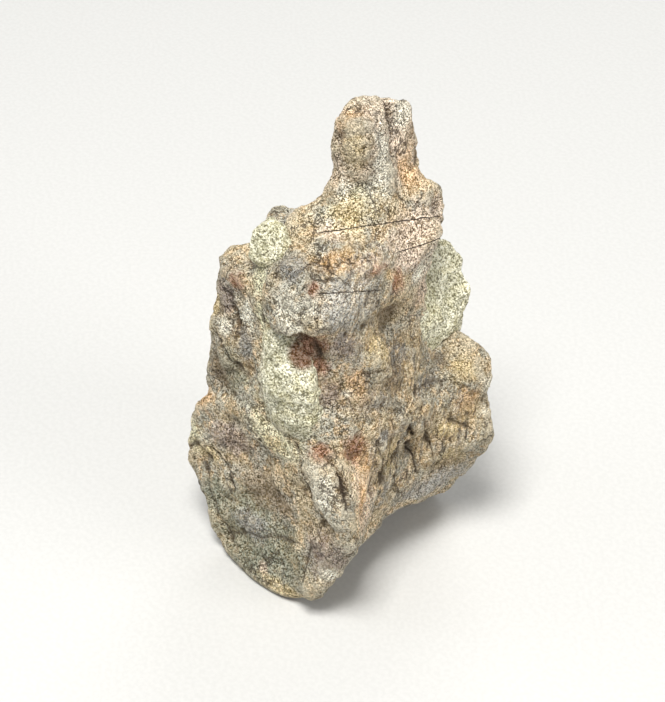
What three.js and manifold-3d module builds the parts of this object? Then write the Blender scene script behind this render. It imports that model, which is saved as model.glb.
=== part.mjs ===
// Fossil trunk vertebra of a phytosaur, standing on the two rims of its centrum.
// Millimetres, +Z up. -Y is the front of the animal, +X its left side.
// The bone is one lump of stone that was broken and glued, so it is modelled whole and parted
// along its glued crack, the suture above the centrum and the roots of the broken processes.
// Pale sandstone still fills the neural canal and clings to the front and the rear of the arch.

import * as THREE from "three";
import { mergeVertices } from "three/addons/utils/BufferGeometryUtils.js";
import Module from "manifold-3d";

const wasm = await Module();
wasm.setup();

// Driving dimensions
const CENTRUM_LENGTH = 52;
const DISH_DEPTH = 2.5; // hollow of each end face
const LIP = 4; // rounding of the rims
const FACE_LEAN = 0.07; // the front face leans back towards its top
const LOWER_LIP = { jut: 3, angle: 88, spread: 42 }; // the front face's foot juts forward
const SEAM = 0.3; // gap between parts that touch

// Waist of the spool between the rims; curve is how suddenly it spreads to them
const WAIST = { halfWidth: 19, keel: 5, top: 50, squareness: 2.3, curve: 2.2 };

// Outlines of the rims seen from the front: [angle, radius] about the middle of each end.
// Angle 0 is the left side (+X) and 90 degrees the top. The rims reach a little below
// the floor, where they are worn flat.
const FRONT_MIDDLE = 24;
const FRONT_RIM = [
  [-180, 30.2],
  [-165, 28.4],
  [-150, 25.6],
  [-135, 26.6],
  [-122, 27.2],
  [-105, 25.4],
  [-85, 25],
  [-65, 25.6],
  [-48, 25.2],
  [-25, 24],
  [-8, 24.4],
  [10, 26.6],
  [35, 28],
  [60, 26.5],
  [90, 25],
  [120, 27],
  [145, 28.4],
  [165, 29.6],
  [180, 30.2],
];
const REAR_MIDDLE = 26;
const REAR_RIM = [
  [-180, 24.5],
  [-150, 25],
  [-125, 28],
  [-105, 27.6],
  [-88, 27.2],
  [-70, 26.6],
  [-57, 25.2],
  [-40, 23.2],
  [-20, 23.2],
  [-4, 24.9],
  [9, 27.4],
  [19, 26],
  [30, 28.4],
  [42, 32.2],
  [55, 33.2],
  [75, 30],
  [90, 28.5],
  [110, 29],
  [135, 31],
  [155, 27],
  [180, 24.5],
];

// The arch and spine by height: [z, front y, rear y, right x, left x, squareness]
const ARCH_STATIONS = [
  [36, -21, 20, -19, 20, 2.6],
  [44, -23.5, 20.5, -19, 19.5, 2.6],
  [52, -23.5, 20, -17, 17.5, 2.6],
  [60, -22.5, 19, -16, 14.5, 2.6],
  [70, -21.5, 18.5, -15, 13, 3],
  [78, -21, 19, -14, 14, 3.6],
  [85, -19, 20.5, -12, 13.5, 3.8],
  [91, -13, 21.5, -9, 9.5, 3],
  [96, -7.5, 22, -6.5, 7, 2.4],
  [103, -2.8, 20.5, -4.6, 5.5, 3.2],
  [110, -2, 19.2, -4.8, 5, 3.8],
  [116.5, -1.5, 16.5, -5.2, 4.4, 4.2],
];
// Flat breaks at the top of the spine: a point on each, and its tilt about X and Y in degrees
const SPINE_TOP_BREAKS = [
  { at: [-2.4, 12.6, 115.3], tilt: [-27, -31] },
  { at: [3.1, 0.1, 115], tilt: [30, 31] },
];

// Stubs by path: [centre x, y, z] from root to tip, half sizes at root and tip, squareness
const RIGHT_PROCESS = {
  root: [-14.5, -14, 38],
  tip: [-13.5, -13, 78],
  rootHalf: [13.5, 9],
  tipHalf: [9.5, 7.5],
  squareness: 2.4,
};
const LEFT_PREZYGAPOPHYSIS = {
  root: [4.5, -10, 81.5],
  tip: [4.2, -23.2, 82],
  rootHalf: [9.2, 9.8],
  tipHalf: [7.4, 8.8],
  squareness: 2.4,
};
const RIGHT_PREZYGAPOPHYSIS = {
  root: [-5, -3, 80],
  tip: [-16, -7, 84.2],
  rootHalf: [8, 8],
  tipHalf: [4.6, 4.6],
  squareness: 2.4,
};
const LEFT_PROCESS_STUMP = {
  root: [6, -3, 58],
  tip: [14.2, -4.5, 62],
  rootHalf: [10, 9],
  tipHalf: [5.5, 6],
  squareness: 2.4,
};
const POSTZYGAPOPHYSIS_X = 5.5;
const POSTZYGAPOPHYSIS = { rootY: 10, tipY: 21, z: 87, half: [3.2, 7], squareness: 4.5 };

const CANAL = { frontY: -25.5, rearY: 17, z: 56, x: 2.5, half: [6, 9.5] };
const REAR_ROCK = { frontY: 12, rearY: 29, z: 58.8, half: [12.8, 14.5] };
const FRONT_ROCK = { centre: [-7.5, -14.5, 87], radius: 5 };

const SPINE_CRACK_HEIGHT = 89.9; // where the glued crack crosses the middle of the vertebra
const SPINE_CRACK_TILT = [-18.8, -19.3]; // it falls towards the rear and rises towards the left
const SUTURE_HEIGHT = 47;
const RIGHT_PROCESS_CUT = [-14.5, -2, 81.5];
const LEFT_PREZYGAPOPHYSIS_CUT = [-4.5, -22.4, 70.5];

// Smooth value between stations, by a cubic through each pair with slopes from the neighbours.
function between(stations, z, column) {
  const last = stations.length - 1;
  if (z <= stations[0][0]) return stations[0][column];
  if (z >= stations[last][0]) return stations[last][column];
  let i = 0;
  while (z > stations[i + 1][0]) i += 1;
  const slope = (k) => {
    const a = stations[Math.max(k - 1, 0)];
    const b = stations[Math.min(k + 1, last)];
    return (b[column] - a[column]) / (b[0] - a[0]);
  };
  const [from, to] = [stations[i], stations[i + 1]];
  const span = to[0] - from[0];
  const t = (z - from[0]) / span;
  const rise = t * t * (3 - 2 * t);
  return (
    from[column] * (1 - rise) +
    to[column] * rise +
    span * t * (1 - t) * ((1 - t) * slope(i) - t * slope(i + 1))
  );
}

const smooth = (low, high, x) => {
  const t = Math.min(Math.max((x - low) / (high - low), 0), 1);
  return t * t * (3 - 2 * t);
};

// Cosine and sine bent towards a square, for rounded box sections.
const bent = (value, squareness) =>
  Math.sign(value) * Math.abs(value) ** (2 / squareness);

// Worn unevenness: every point of the stone is shifted by slow waves, fading out at the floor.
function worn([x, y, z]) {
  const hold = smooth(1, 9, z);
  const wave = (a, b, c) => Math.sin(a * x + b * y + c * z);
  return [
    x + hold * (0.5 * wave(0.11, 0.31, 0.23) + 0.3 * wave(0.47, -0.39, 0.52)),
    y + hold * (0.5 * wave(0.29, -0.13, 0.21) + 0.3 * wave(-0.41, 0.45, 0.5)),
    z + hold * (0.4 * wave(0.27, 0.19, -0.15) + 0.2 * wave(0.5, 0.37, 0.44)),
  ];
}

// A closed surface: place(turn, run) gives a point, with run 0 and 1 each one single point.
function closedSurface(around, along, place) {
  const geometry = new THREE.SphereGeometry(1, around, along);
  const { position, uv } = geometry.attributes;
  for (let i = 0; i < position.count; i += 1) {
    const turn = 2 * Math.PI * uv.getX(i);
    position.setXYZ(i, ...worn(place(turn, 1 - uv.getY(i))));
  }
  geometry.deleteAttribute("normal");
  geometry.deleteAttribute("uv");
  return geometry;
}

function solidOf(geometry) {
  const merged = mergeVertices(geometry, 1e-3);
  const triVerts = new Uint32Array(merged.index.array);
  const vertProperties = merged.attributes.position.array;
  const make = () =>
    new wasm.Manifold(
      new wasm.Mesh({ numProp: 3, vertProperties, triVerts }),
    );
  const made = make();
  if (made.volume() > 0) return made;
  for (let i = 0; i < triVerts.length; i += 3) {
    [triVerts[i + 1], triVerts[i + 2]] = [triVerts[i + 2], triVerts[i + 1]];
  }
  return make();
}

// A box, turned by a tilt about X and then Y in degrees, and carried to a place.
function block(low, high, tilt = [0, 0], place = [0, 0, 0]) {
  const size = high.map((h, k) => h - low[k]);
  const middle = high.map((h, k) => (h + low[k]) / 2);
  const geometry = new THREE.BoxGeometry(...size);
  geometry.deleteAttribute("normal");
  geometry.deleteAttribute("uv");
  geometry.translate(...middle);
  geometry.rotateX(THREE.MathUtils.degToRad(tilt[0]));
  geometry.rotateY(THREE.MathUtils.degToRad(tilt[1]));
  geometry.translate(...place);
  return solidOf(geometry);
}

const inDegrees = (turn) => ((((turn * 180) / Math.PI + 180) % 360) - 180);

// Distance from the middle to an oval with square-ish corners, at an angle.
function ovalRadius(turn, halfWidth, halfHeight, squareness) {
  const wide = Math.abs(Math.cos(turn) / halfWidth) ** squareness;
  const tall = Math.abs(Math.sin(turn) / halfHeight) ** squareness;
  return (wide + tall) ** (-1 / squareness);
}

// Spool: a profile from the middle of one dished face, over its rim, along the waist to the other.
function centrumSolid() {
  const half = CENTRUM_LENGTH / 2;
  const faceShare = 0.24; // parts of the profile's run taken by the face and by the rim
  const lipShare = 0.1;
  const rimStart = 0.82; // where the face turns into the rim, as a part of the radius
  return solidOf(
    closedSurface(48, 36, (turn, run) => {
      const end = run < 0.5 ? -1 : 1;
      const inward = Math.min(run, 1 - run);
      let reach;
      let depth;
      if (inward < faceShare) {
        const share = inward / faceShare;
        reach = rimStart * share;
        depth = DISH_DEPTH * (1 - share * share);
      } else if (inward < faceShare + lipShare) {
        const bend = ((inward - faceShare) / lipShare) * (Math.PI / 2);
        reach = rimStart + (1 - rimStart) * Math.sin(bend);
        depth = LIP * (1 - Math.cos(bend));
      } else {
        reach = 1;
        const left = 0.5 - faceShare - lipShare;
        depth = LIP + ((half - LIP) * (inward - faceShare - lipShare)) / left;
      }
      const y = end * (half - depth);
      const flare = Math.min(Math.abs(y) / (half - LIP), 1) ** WAIST.curve;
      const rim = end < 0 ? FRONT_RIM : REAR_RIM;
      const endMiddle = FRONT_MIDDLE + (REAR_MIDDLE - FRONT_MIDDLE) * smooth(-half, half, y);
      const tall = turn < Math.PI ? WAIST.top - endMiddle : endMiddle - WAIST.keel;
      const waist = ovalRadius(turn, WAIST.halfWidth, tall, WAIST.squareness);
      const radius = waist + (between(rim, inDegrees(turn), 1) - waist) * flare;
      const out = radius * reach;
      const z = endMiddle + out * Math.sin(turn);
      const fromFoot = (inDegrees(turn) + LOWER_LIP.angle) / LOWER_LIP.spread;
      const jut = LOWER_LIP.jut * Math.exp(-(fromFoot ** 2)) * reach * reach;
      const lean = end < 0 ? flare * (FACE_LEAN * (z - FRONT_MIDDLE) - jut) : 0;
      return [out * Math.cos(turn), y + lean, z];
    }),
  );
}

// Arch and spine: a rounded box section carried up the stations, closed by flat ends.
function archSolid() {
  const low = ARCH_STATIONS[0][0];
  const high = ARCH_STATIONS[ARCH_STATIONS.length - 1][0];
  const capShare = 0.06;
  return solidOf(
    closedSurface(44, 36, (turn, run) => {
      const reach = Math.min(1, run / capShare, (1 - run) / capShare);
      const climb = Math.min(Math.max((run - capShare) / (1 - 2 * capShare), 0), 1);
      const z = low + (high - low) * climb;
      const [front, rear, right, left, square] = [1, 2, 3, 4, 5].map((column) =>
        between(ARCH_STATIONS, z, column),
      );
      const across = bent(Math.cos(turn), square) * reach;
      const fore = bent(Math.sin(turn), square) * reach;
      const y = (front + rear) / 2 + ((rear - front) / 2) * fore;
      const groove = smooth(8.5, 10.5, y) * smooth(92, 100, z);
      const side = across > 0 ? left * (1 - 0.32 * groove) : -right;
      const crown = reach < 1 && climb > 0.5 ? 0.8 * (1 - reach) : 0;
      return [across * side, y, z + crown];
    }),
  );
}

// Stub: an oval section carried straight from root to tip, with rounded ends.
// upright stubs are cut level, and the others are cut across their own run.
function stubSolid({ root, tip, rootHalf, tipHalf, squareness }, upright, around = 24) {
  const start = new THREE.Vector3(...root);
  const way = new THREE.Vector3(...tip).sub(start);
  const along = way.clone().normalize();
  const up = new THREE.Vector3(0, upright ? 1 : 0, upright ? 0 : 1);
  const side = new THREE.Vector3().crossVectors(along, up).normalize();
  const over = new THREE.Vector3().crossVectors(side, along);
  const capShare = 0.3;
  return solidOf(
    closedSurface(around, 14, (turn, run) => {
      const inward = Math.min(run, 1 - run);
      const bend = Math.min(inward / capShare, 1) * (Math.PI / 2);
      const reach = Math.sin(bend) ** 0.6;
      const share = Math.min(Math.max((run - capShare) / (1 - 2 * capShare), 0), 1);
      const bulge = -2.5 * Math.cos(bend) ** 2 * (run < 0.5 ? 1 : -1);
      const width = rootHalf[0] + (tipHalf[0] - rootHalf[0]) * share;
      const height = rootHalf[1] + (tipHalf[1] - rootHalf[1]) * share;
      const point = start.clone().addScaledVector(way, share);
      point.addScaledVector(along, bulge);
      point.addScaledVector(side, width * reach * bent(Math.cos(turn), squareness));
      point.addScaledVector(over, height * reach * bent(Math.sin(turn), squareness));
      return point.toArray();
    }),
  );
}

// Rock in the canal: an oval plug, wider at its front mouth, grown by a gap to cut its own bed.
function canalSolid(grow) {
  const capShare = 0.12;
  return solidOf(
    closedSurface(24, 24, (turn, run) => {
      const inward = Math.min(run, 1 - run);
      const reach = Math.sin((Math.min(inward / capShare, 1) * Math.PI) / 2);
      const share = Math.min(Math.max((run - capShare) / (1 - 2 * capShare), 0), 1);
      const y = CANAL.frontY - grow + (CANAL.rearY - CANAL.frontY + 2 * grow) * share;
      const mouth = 1 - smooth(0, 0.35, share);
      const width = CANAL.half[0] + 2 * mouth + grow;
      const height = CANAL.half[1] + 4 * mouth + grow;
      return [
        CANAL.x + 1.5 * mouth + width * reach * Math.cos(turn),
        y,
        CANAL.z + 1.5 * mouth + height * reach * Math.sin(turn),
      ];
    }),
  );
}

// Rock behind the arch: a slab with rounded edges that narrows towards its top.
function rearRockSolid() {
  const capShare = 0.24;
  return solidOf(
    closedSurface(32, 18, (turn, run) => {
      const inward = Math.min(run, 1 - run);
      const bend = Math.min(inward / capShare, 1) * (Math.PI / 2);
      const reach = Math.sin(bend) ** 0.5;
      const share = Math.min(Math.max((run - capShare) / (1 - 2 * capShare), 0), 1);
      const y = REAR_ROCK.frontY + (REAR_ROCK.rearY - REAR_ROCK.frontY) * share;
      const rise = bent(Math.sin(turn), 2.8);
      const taper = 1 - 0.36 * smooth(-0.2, 1, rise);
      return [
        REAR_ROCK.half[0] * taper * reach * bent(Math.cos(turn), 2.8),
        y - Math.cos(bend) * 1.5 * (run < 0.5 ? 1 : -1),
        REAR_ROCK.z + REAR_ROCK.half[1] * reach * rise,
      ];
    }),
  );
}

function frontRockSolid() {
  const { centre, radius } = FRONT_ROCK;
  return solidOf(
    closedSurface(24, 16, (turn, run) => {
      const tilt = Math.PI * run;
      return [
        centre[0] + radius * Math.sin(tilt) * Math.cos(turn),
        centre[1] + radius * Math.sin(tilt) * Math.sin(turn),
        centre[2] + radius * 1.08 * Math.cos(tilt),
      ];
    }),
  );
}

const FAR = 200;
const floor = block([-FAR, -FAR, -FAR], [FAR, FAR, 0]);
const postzygapophyses = [-1, 1].map((side) =>
  stubSolid(
    {
      root: [side * POSTZYGAPOPHYSIS_X, POSTZYGAPOPHYSIS.rootY, POSTZYGAPOPHYSIS.z],
      tip: [side * POSTZYGAPOPHYSIS_X, POSTZYGAPOPHYSIS.tipY, POSTZYGAPOPHYSIS.z],
      rootHalf: POSTZYGAPOPHYSIS.half,
      tipHalf: POSTZYGAPOPHYSIS.half,
      squareness: POSTZYGAPOPHYSIS.squareness,
    },
    false,
    16,
  ),
);

const topBreaks = SPINE_TOP_BREAKS.map(({ at, tilt }) =>
  block([-FAR, -FAR, 0], [FAR, FAR, FAR], tilt, at),
);
const archAndSpine = topBreaks.reduce((left, cut) => left.subtract(cut), archSolid());

const wholeBone = [
  archAndSpine,
  stubSolid(RIGHT_PROCESS, true),
  stubSolid(LEFT_PREZYGAPOPHYSIS, false),
  stubSolid(RIGHT_PREZYGAPOPHYSIS, false),
  stubSolid(LEFT_PROCESS_STUMP, false),
  ...postzygapophyses,
].reduce((sum, piece) => sum.add(piece), centrumSolid());
const bone = wholeBone.subtract(floor).subtract(canalSolid(SEAM));

// The part of a solid inside a cutting block, and what is left outside it beyond a thin gap.
function parted(solid, keepBlock, gapBlock) {
  return [solid.intersect(keepBlock), solid.subtract(gapBlock)];
}

const crackAt = [0, 0, SPINE_CRACK_HEIGHT];
const [spine, belowCrack] = parted(
  bone,
  block([-FAR, -FAR, SEAM], [FAR, FAR, FAR], SPINE_CRACK_TILT, crackAt),
  block([-FAR, -FAR, 0], [FAR, FAR, FAR], SPINE_CRACK_TILT, crackAt),
);
const [upper, centrum] = parted(
  belowCrack,
  block([-FAR, -FAR, SUTURE_HEIGHT + SEAM], [FAR, FAR, FAR]),
  block([-FAR, -FAR, SUTURE_HEIGHT], [FAR, FAR, FAR]),
);
const [wingX, wingY, wingZ] = RIGHT_PROCESS_CUT;
const [rightProcess, withoutProcess] = parted(
  upper,
  block([-FAR, -FAR, 0], [wingX - SEAM, wingY, wingZ]),
  block([-FAR, -FAR, 0], [wingX, wingY + SEAM, wingZ + SEAM]),
);
const [stubX, stubY, stubZ] = LEFT_PREZYGAPOPHYSIS_CUT;
const [leftPrezygapophysis, arch] = parted(
  withoutProcess,
  block([stubX, -FAR, stubZ], [FAR, stubY - SEAM, FAR]),
  block([stubX - SEAM, -FAR, stubZ - SEAM], [FAR, stubY, FAR]),
);

// Only the largest closed body of a node is kept, so that no loose scrap is left.
function largest(solid) {
  return solid
    .decompose()
    .reduce((best, body) => (body.volume() > best.volume() ? body : best));
}

const boneGrown = [-1, 1]
  .flatMap((way) => [0, 1, 2].map((axis) => [0, 0, 0].map((_, k) => (k === axis ? way * SEAM : 0))))
  .reduce((sum, shift) => sum.add(wholeBone.translate(shift)), wholeBone);
const canalRock = canalSolid(0);
const rearRock = rearRockSolid().subtract(boneGrown).subtract(canalSolid(SEAM));
const frontRock = frontRockSolid().subtract(boneGrown);

// Materials
const fossilBone = new THREE.MeshStandardMaterial({
  color: "#9b8a70",
  roughness: 0.78,
  metalness: 0,
});
const sandstone = new THREE.MeshStandardMaterial({
  color: "#c3c19a",
  roughness: 0.92,
  metalness: 0,
});

const NODES = [
  ["centrum", centrum, fossilBone],
  ["neural_arch", arch, fossilBone],
  ["neural_spine", spine, fossilBone],
  ["transverse_process_right", rightProcess, fossilBone],
  ["prezygapophysis_left", leftPrezygapophysis, fossilBone],
  ["rock_in_canal", canalRock, sandstone],
  ["rock_behind_arch", rearRock, sandstone],
  ["rock_on_front", frontRock, sandstone],
];

function meshOf(name, solid, material) {
  const { numProp, numVert, vertProperties, triVerts } = largest(solid).getMesh();
  const points = new Float32Array(numVert * 3);
  for (let i = 0; i < numVert; i += 1) {
    points.set(vertProperties.subarray(i * numProp, i * numProp + 3), i * 3);
  }
  const geometry = new THREE.BufferGeometry();
  geometry.setAttribute("position", new THREE.BufferAttribute(points, 3));
  geometry.setIndex(new THREE.BufferAttribute(new Uint32Array(triVerts), 1));
  const mesh = new THREE.Mesh(geometry, material);
  mesh.name = name;
  return mesh;
}

const vertebra = new THREE.Group();
NODES.forEach((node) => vertebra.add(meshOf(...node)));

// The origin is the middle of the vertebra's footprint box, on the floor.
const extent = new THREE.Box3().setFromObject(vertebra);
const middle = extent.getCenter(new THREE.Vector3());
vertebra.position.set(-middle.x, -middle.y, -extent.min.z);

export default vertebra;
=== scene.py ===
"""Fossil trunk vertebra of a phytosaur, standing on the rims of its centrum on a pale floor.

The bone is one skin over the frame's bone solids: the same rounded surfaces are joined, their
meeting lines are worn soft, and then lumps, hollows, crevices, pits and fibres are pressed into
it. Three pieces of pale sandstone cling to it. Lengths in the tables are millimetres in the
frame's own axes: -Y is the front of the animal, +X its left side and +Z up.
"""

import itertools
import math

import bpy
import numpy as np
from bpy.props import FloatProperty, FloatVectorProperty, IntProperty, PointerProperty
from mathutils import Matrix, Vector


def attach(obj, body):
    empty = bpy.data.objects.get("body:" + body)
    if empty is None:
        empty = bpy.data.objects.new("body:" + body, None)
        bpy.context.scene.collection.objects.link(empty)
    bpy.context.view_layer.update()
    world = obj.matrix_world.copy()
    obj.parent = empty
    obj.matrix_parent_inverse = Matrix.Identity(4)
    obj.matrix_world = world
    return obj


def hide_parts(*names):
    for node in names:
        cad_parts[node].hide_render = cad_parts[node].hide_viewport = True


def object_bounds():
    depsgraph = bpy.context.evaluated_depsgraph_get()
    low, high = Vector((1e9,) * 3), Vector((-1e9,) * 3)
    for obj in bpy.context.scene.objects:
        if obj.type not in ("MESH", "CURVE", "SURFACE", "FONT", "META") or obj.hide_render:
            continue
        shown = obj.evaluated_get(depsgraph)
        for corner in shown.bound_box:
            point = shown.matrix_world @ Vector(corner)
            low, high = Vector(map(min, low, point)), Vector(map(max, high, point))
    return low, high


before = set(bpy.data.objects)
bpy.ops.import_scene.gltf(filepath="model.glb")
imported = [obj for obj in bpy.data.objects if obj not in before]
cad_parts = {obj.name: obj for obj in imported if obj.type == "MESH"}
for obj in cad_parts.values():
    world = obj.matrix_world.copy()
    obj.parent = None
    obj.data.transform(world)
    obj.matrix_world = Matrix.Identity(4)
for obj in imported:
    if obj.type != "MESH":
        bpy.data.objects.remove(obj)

bl_info = {
    "name": "Fossil vertebra",
    "version": (1, 0, 0),
    "blender": (4, 5, 0),
    "location": "3D View > Sidebar > Fossil",
    "description": "Builds a fossil reptile vertebra with clinging rock, and its studio stage",
    "category": "Add Mesh",
}

CAD_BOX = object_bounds()
MM = 0.001
BODY = "root"
ROCK_MATERIAL = "clinging_sandstone"
BONES = (
    "centrum", "neural_arch", "neural_spine", "transverse_process_right", "prezygapophysis_left"
)

# Driving sizes, the same as the frame's solids have
CENTRUM_LENGTH = 52.0
DISH_DEPTH = 2.5
LIP = 4.0
FACE_LEAN = 0.07
LOWER_LIP_JUT, LOWER_LIP_ANGLE, LOWER_LIP_SPREAD = 3.0, -88.0, 42.0
WAIST_HALF_WIDTH, WAIST_KEEL, WAIST_TOP, WAIST_SQUARENESS, WAIST_CURVE = 19.0, 5.0, 50.0, 2.3, 2.2
FACE_SHARE, LIP_SHARE, RIM_START = 0.24, 0.1, 0.82

# Outlines of the rims: angle seen from the front, 0 at the left side and 90 at the top; radius
FRONT_MIDDLE = 24.0
FRONT_RIM = [
    (-180, 30.2), (-165, 28.4), (-150, 25.6), (-135, 26.6), (-122, 27.2), (-105, 25.4),
    (-85, 25), (-65, 25.6), (-48, 25.2), (-25, 24), (-8, 24.4), (10, 26.6), (35, 28),
    (60, 26.5), (90, 25), (120, 27), (145, 28.4), (165, 29.6), (180, 30.2),
]
REAR_MIDDLE = 26.0
REAR_RIM = [
    (-180, 24.5), (-150, 25), (-125, 28), (-105, 27.6), (-88, 27.2), (-70, 26.6), (-57, 25.2),
    (-40, 23.2), (-20, 23.2), (-4, 24.9), (9, 27.4), (19, 26), (30, 28.4), (42, 32.2),
    (55, 33.2), (75, 30), (90, 28.5), (110, 29), (135, 31), (155, 27), (180, 24.5),
]

# The arch and spine by height: z, front y, rear y, right x, left x, squareness
ARCH_STATIONS = [
    (36, -21, 20, -19, 20, 2.6),
    (44, -23.5, 20.5, -19, 19.5, 2.6),
    (52, -23.5, 20, -17, 17.5, 2.6),
    (60, -22.5, 19, -16, 14.5, 2.6),
    (70, -21.5, 18.5, -15, 13, 3),
    (78, -21, 19, -14, 14, 3.6),
    (85, -19, 20.5, -12, 13.5, 3.8),
    (91, -13, 21.5, -9, 9.5, 3),
    (96, -7.5, 22, -6.5, 7, 2.4),
    (103, -2.8, 20.5, -4.6, 5.5, 3.2),
    (110, -2, 19.2, -4.8, 5, 3.8),
    (116.5, -1.5, 16.5, -5.2, 4.4, 4.2),
]

# Stumps of the broken processes: root, tip, half sizes at the root and the tip, squareness
STUMPS = {
    "right process": ((-14.5, -14, 38), (-13.5, -13, 78), (13.5, 9), (9.5, 7.5), 2.4),
    "left front facet": ((4.5, -10, 81.5), (4.2, -23.2, 82), (9.2, 9.8), (7.4, 8.8), 2.4),
    "right front facet": ((-5, -3, 80), (-16, -7, 84.2), (8, 8), (4.6, 4.6), 2.4),
    "left process": ((6, -3, 58), (14.2, -4.5, 62), (10, 9), (5.5, 6), 2.4),
    "left rear facet": ((5.5, 10, 87), (5.5, 21.0, 87), (3.2, 7), (3.2, 7), 4.5),
    "right rear facet": ((-5.5, 10, 87), (-5.5, 21.0, 87), (3.2, 7), (3.2, 7), 4.5),
}

CANAL_FRONT, CANAL_REAR, CANAL_X, CANAL_Z, CANAL_HALF = -25.9, 17.0, 2.5, 56.0, (6.0, 9.5)
CANAL_MOUTH_HALF = (8.4, 15.8)
REAR_ROCK_FRONT, REAR_ROCK_REAR, REAR_ROCK_Z, REAR_ROCK_HALF = 12.0, 29.0, 58.8, (12.8, 14.5)
FRONT_ROCK_CENTRE, FRONT_ROCK_RADIUS = (-7.5, -14.5, 87.7), 5.0
AXIS_OFFSET = np.array([1.37, -0.62, 0.0])  # from the middle of the bone to that of its footprint

# Lumps and hollows pressed into the bone: where, centre, radii, outward amount
LUMPS = [
    ("boss of the broken left process", (16.5, -5.5, 65), (5.5, 6, 4), 1.3),
    ("hollow above the boss", (14.5, 2, 69.5), (5, 6, 3.5), -1.9),
    ("hollow behind the boss", (14, 9, 63.5), (5, 5, 5), -0.7),
    ("recess under the left front facet", (11, -22, 68), (3, 4, 5), -2.0),
    ("below the rim of the facet", (13, -19.5, 76), (4, 4, 4.5), 0.8),
    ("lower right of the facet", (12.5, -24, 76.5), (3.6, 4, 4), -2.0),
    ("middle of the left facet", (7.5, -26, 84), (4.5, 3, 5), -0.9),
    ("point of the recess", (8.8, -24.5, 73), (3.8, 4, 2.4), -2.4),
    ("strip behind the groove of the spine", (6, 14, 106), (3, 4.5, 9), -1.0),
    ("top of the strip", (2, 16.5, 117), (6, 4, 2.5), -1.3),
    ("hollow beside the facet", (11.2, -19, 89), (1.8, 1.8, 1.8), -1.0),
    ("second hollow beside the facet", (10.8, -15.5, 90), (1.6, 1.8, 1.8), -0.9),
    ("scar of the broken rim", (18, -25.5, 38), (6, 3, 8), 1.1),
    ("lower scar", (21, -26, 22), (4, 3, 6), 0.7),
    ("dent between the scars", (21, -26, 29.5), (4, 3, 2.2), -0.6),
    ("pit in the front edge of the spine", (0.2, -3.2, 113), (2, 2, 1.8), -1.5),
    ("hollow in the upper left of the face", (-13, -25.5, 30), (7, 3, 4), -0.7),
    ("ledge at the left rim", (-20, -25, 28), (5, 3, 3), 0.7),
    ("dent in the foot of the face", (4, -29, 8), (5, 3, 4), -0.6),
    ("swelling low on the face", (-4, -27, 13), (7, 3, 5), 0.6),
    ("hollow of the side", (20, 0, 30), (5, 12, 8), -0.8),
    ("groove behind the side", (19, 9, 49), (4, 7, 1.8), -1.1),
    ("rear shoulder", (20, 20, 51), (5, 5, 5), 0.8),
    ("notch in the rear rim", (25.5, 21.5, 40), (3, 4, 2), -0.6),
    ("corner of the rear rim", (26.5, 21, 34.5), (4, 4, 3.5), 0.9),
    ("notch low in the rear rim", (24, 22, 21), (3, 4, 2.5), -0.8),
    ("grey knob behind the rock lump", (-10, -9, 90.5), (4, 4, 3), 0.5),
    ("ledge behind the rock lump", (-5, -8, 92.5), (4, 4, 2.5), 0.6),
    ("rear edge of the arch", (13.5, 16, 85), (3, 3, 7), 1.0),
    ("rear edge of the arch, lower", (14, 15.5, 74), (3, 3, 6), 1.2),
    ("below the rear facet", (9, 19.5, 79), (4, 3, 3), -0.8),
    ("dent in the right process", (-14, -22, 68), (3, 3, 5), -0.8),
    ("lump on the right process", (-15, -22, 76), (4, 3, 3), 0.7),
    ("lump low on the right process", (-14, -22.5, 54), (5, 3, 5), 0.7),
    ("right side hollow", (-19, 2, 55), (4, 8, 6), -1.4),
    ("rear hollow of the right side", (-17, 10, 70), (4, 6, 6), -1.2),
    ("rear face dent", (-6, 26, 24), (8, 3, 8), -0.8),
    ("keel swelling", (0, 2, 6), (6, 9, 4), 0.5),
]

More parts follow.
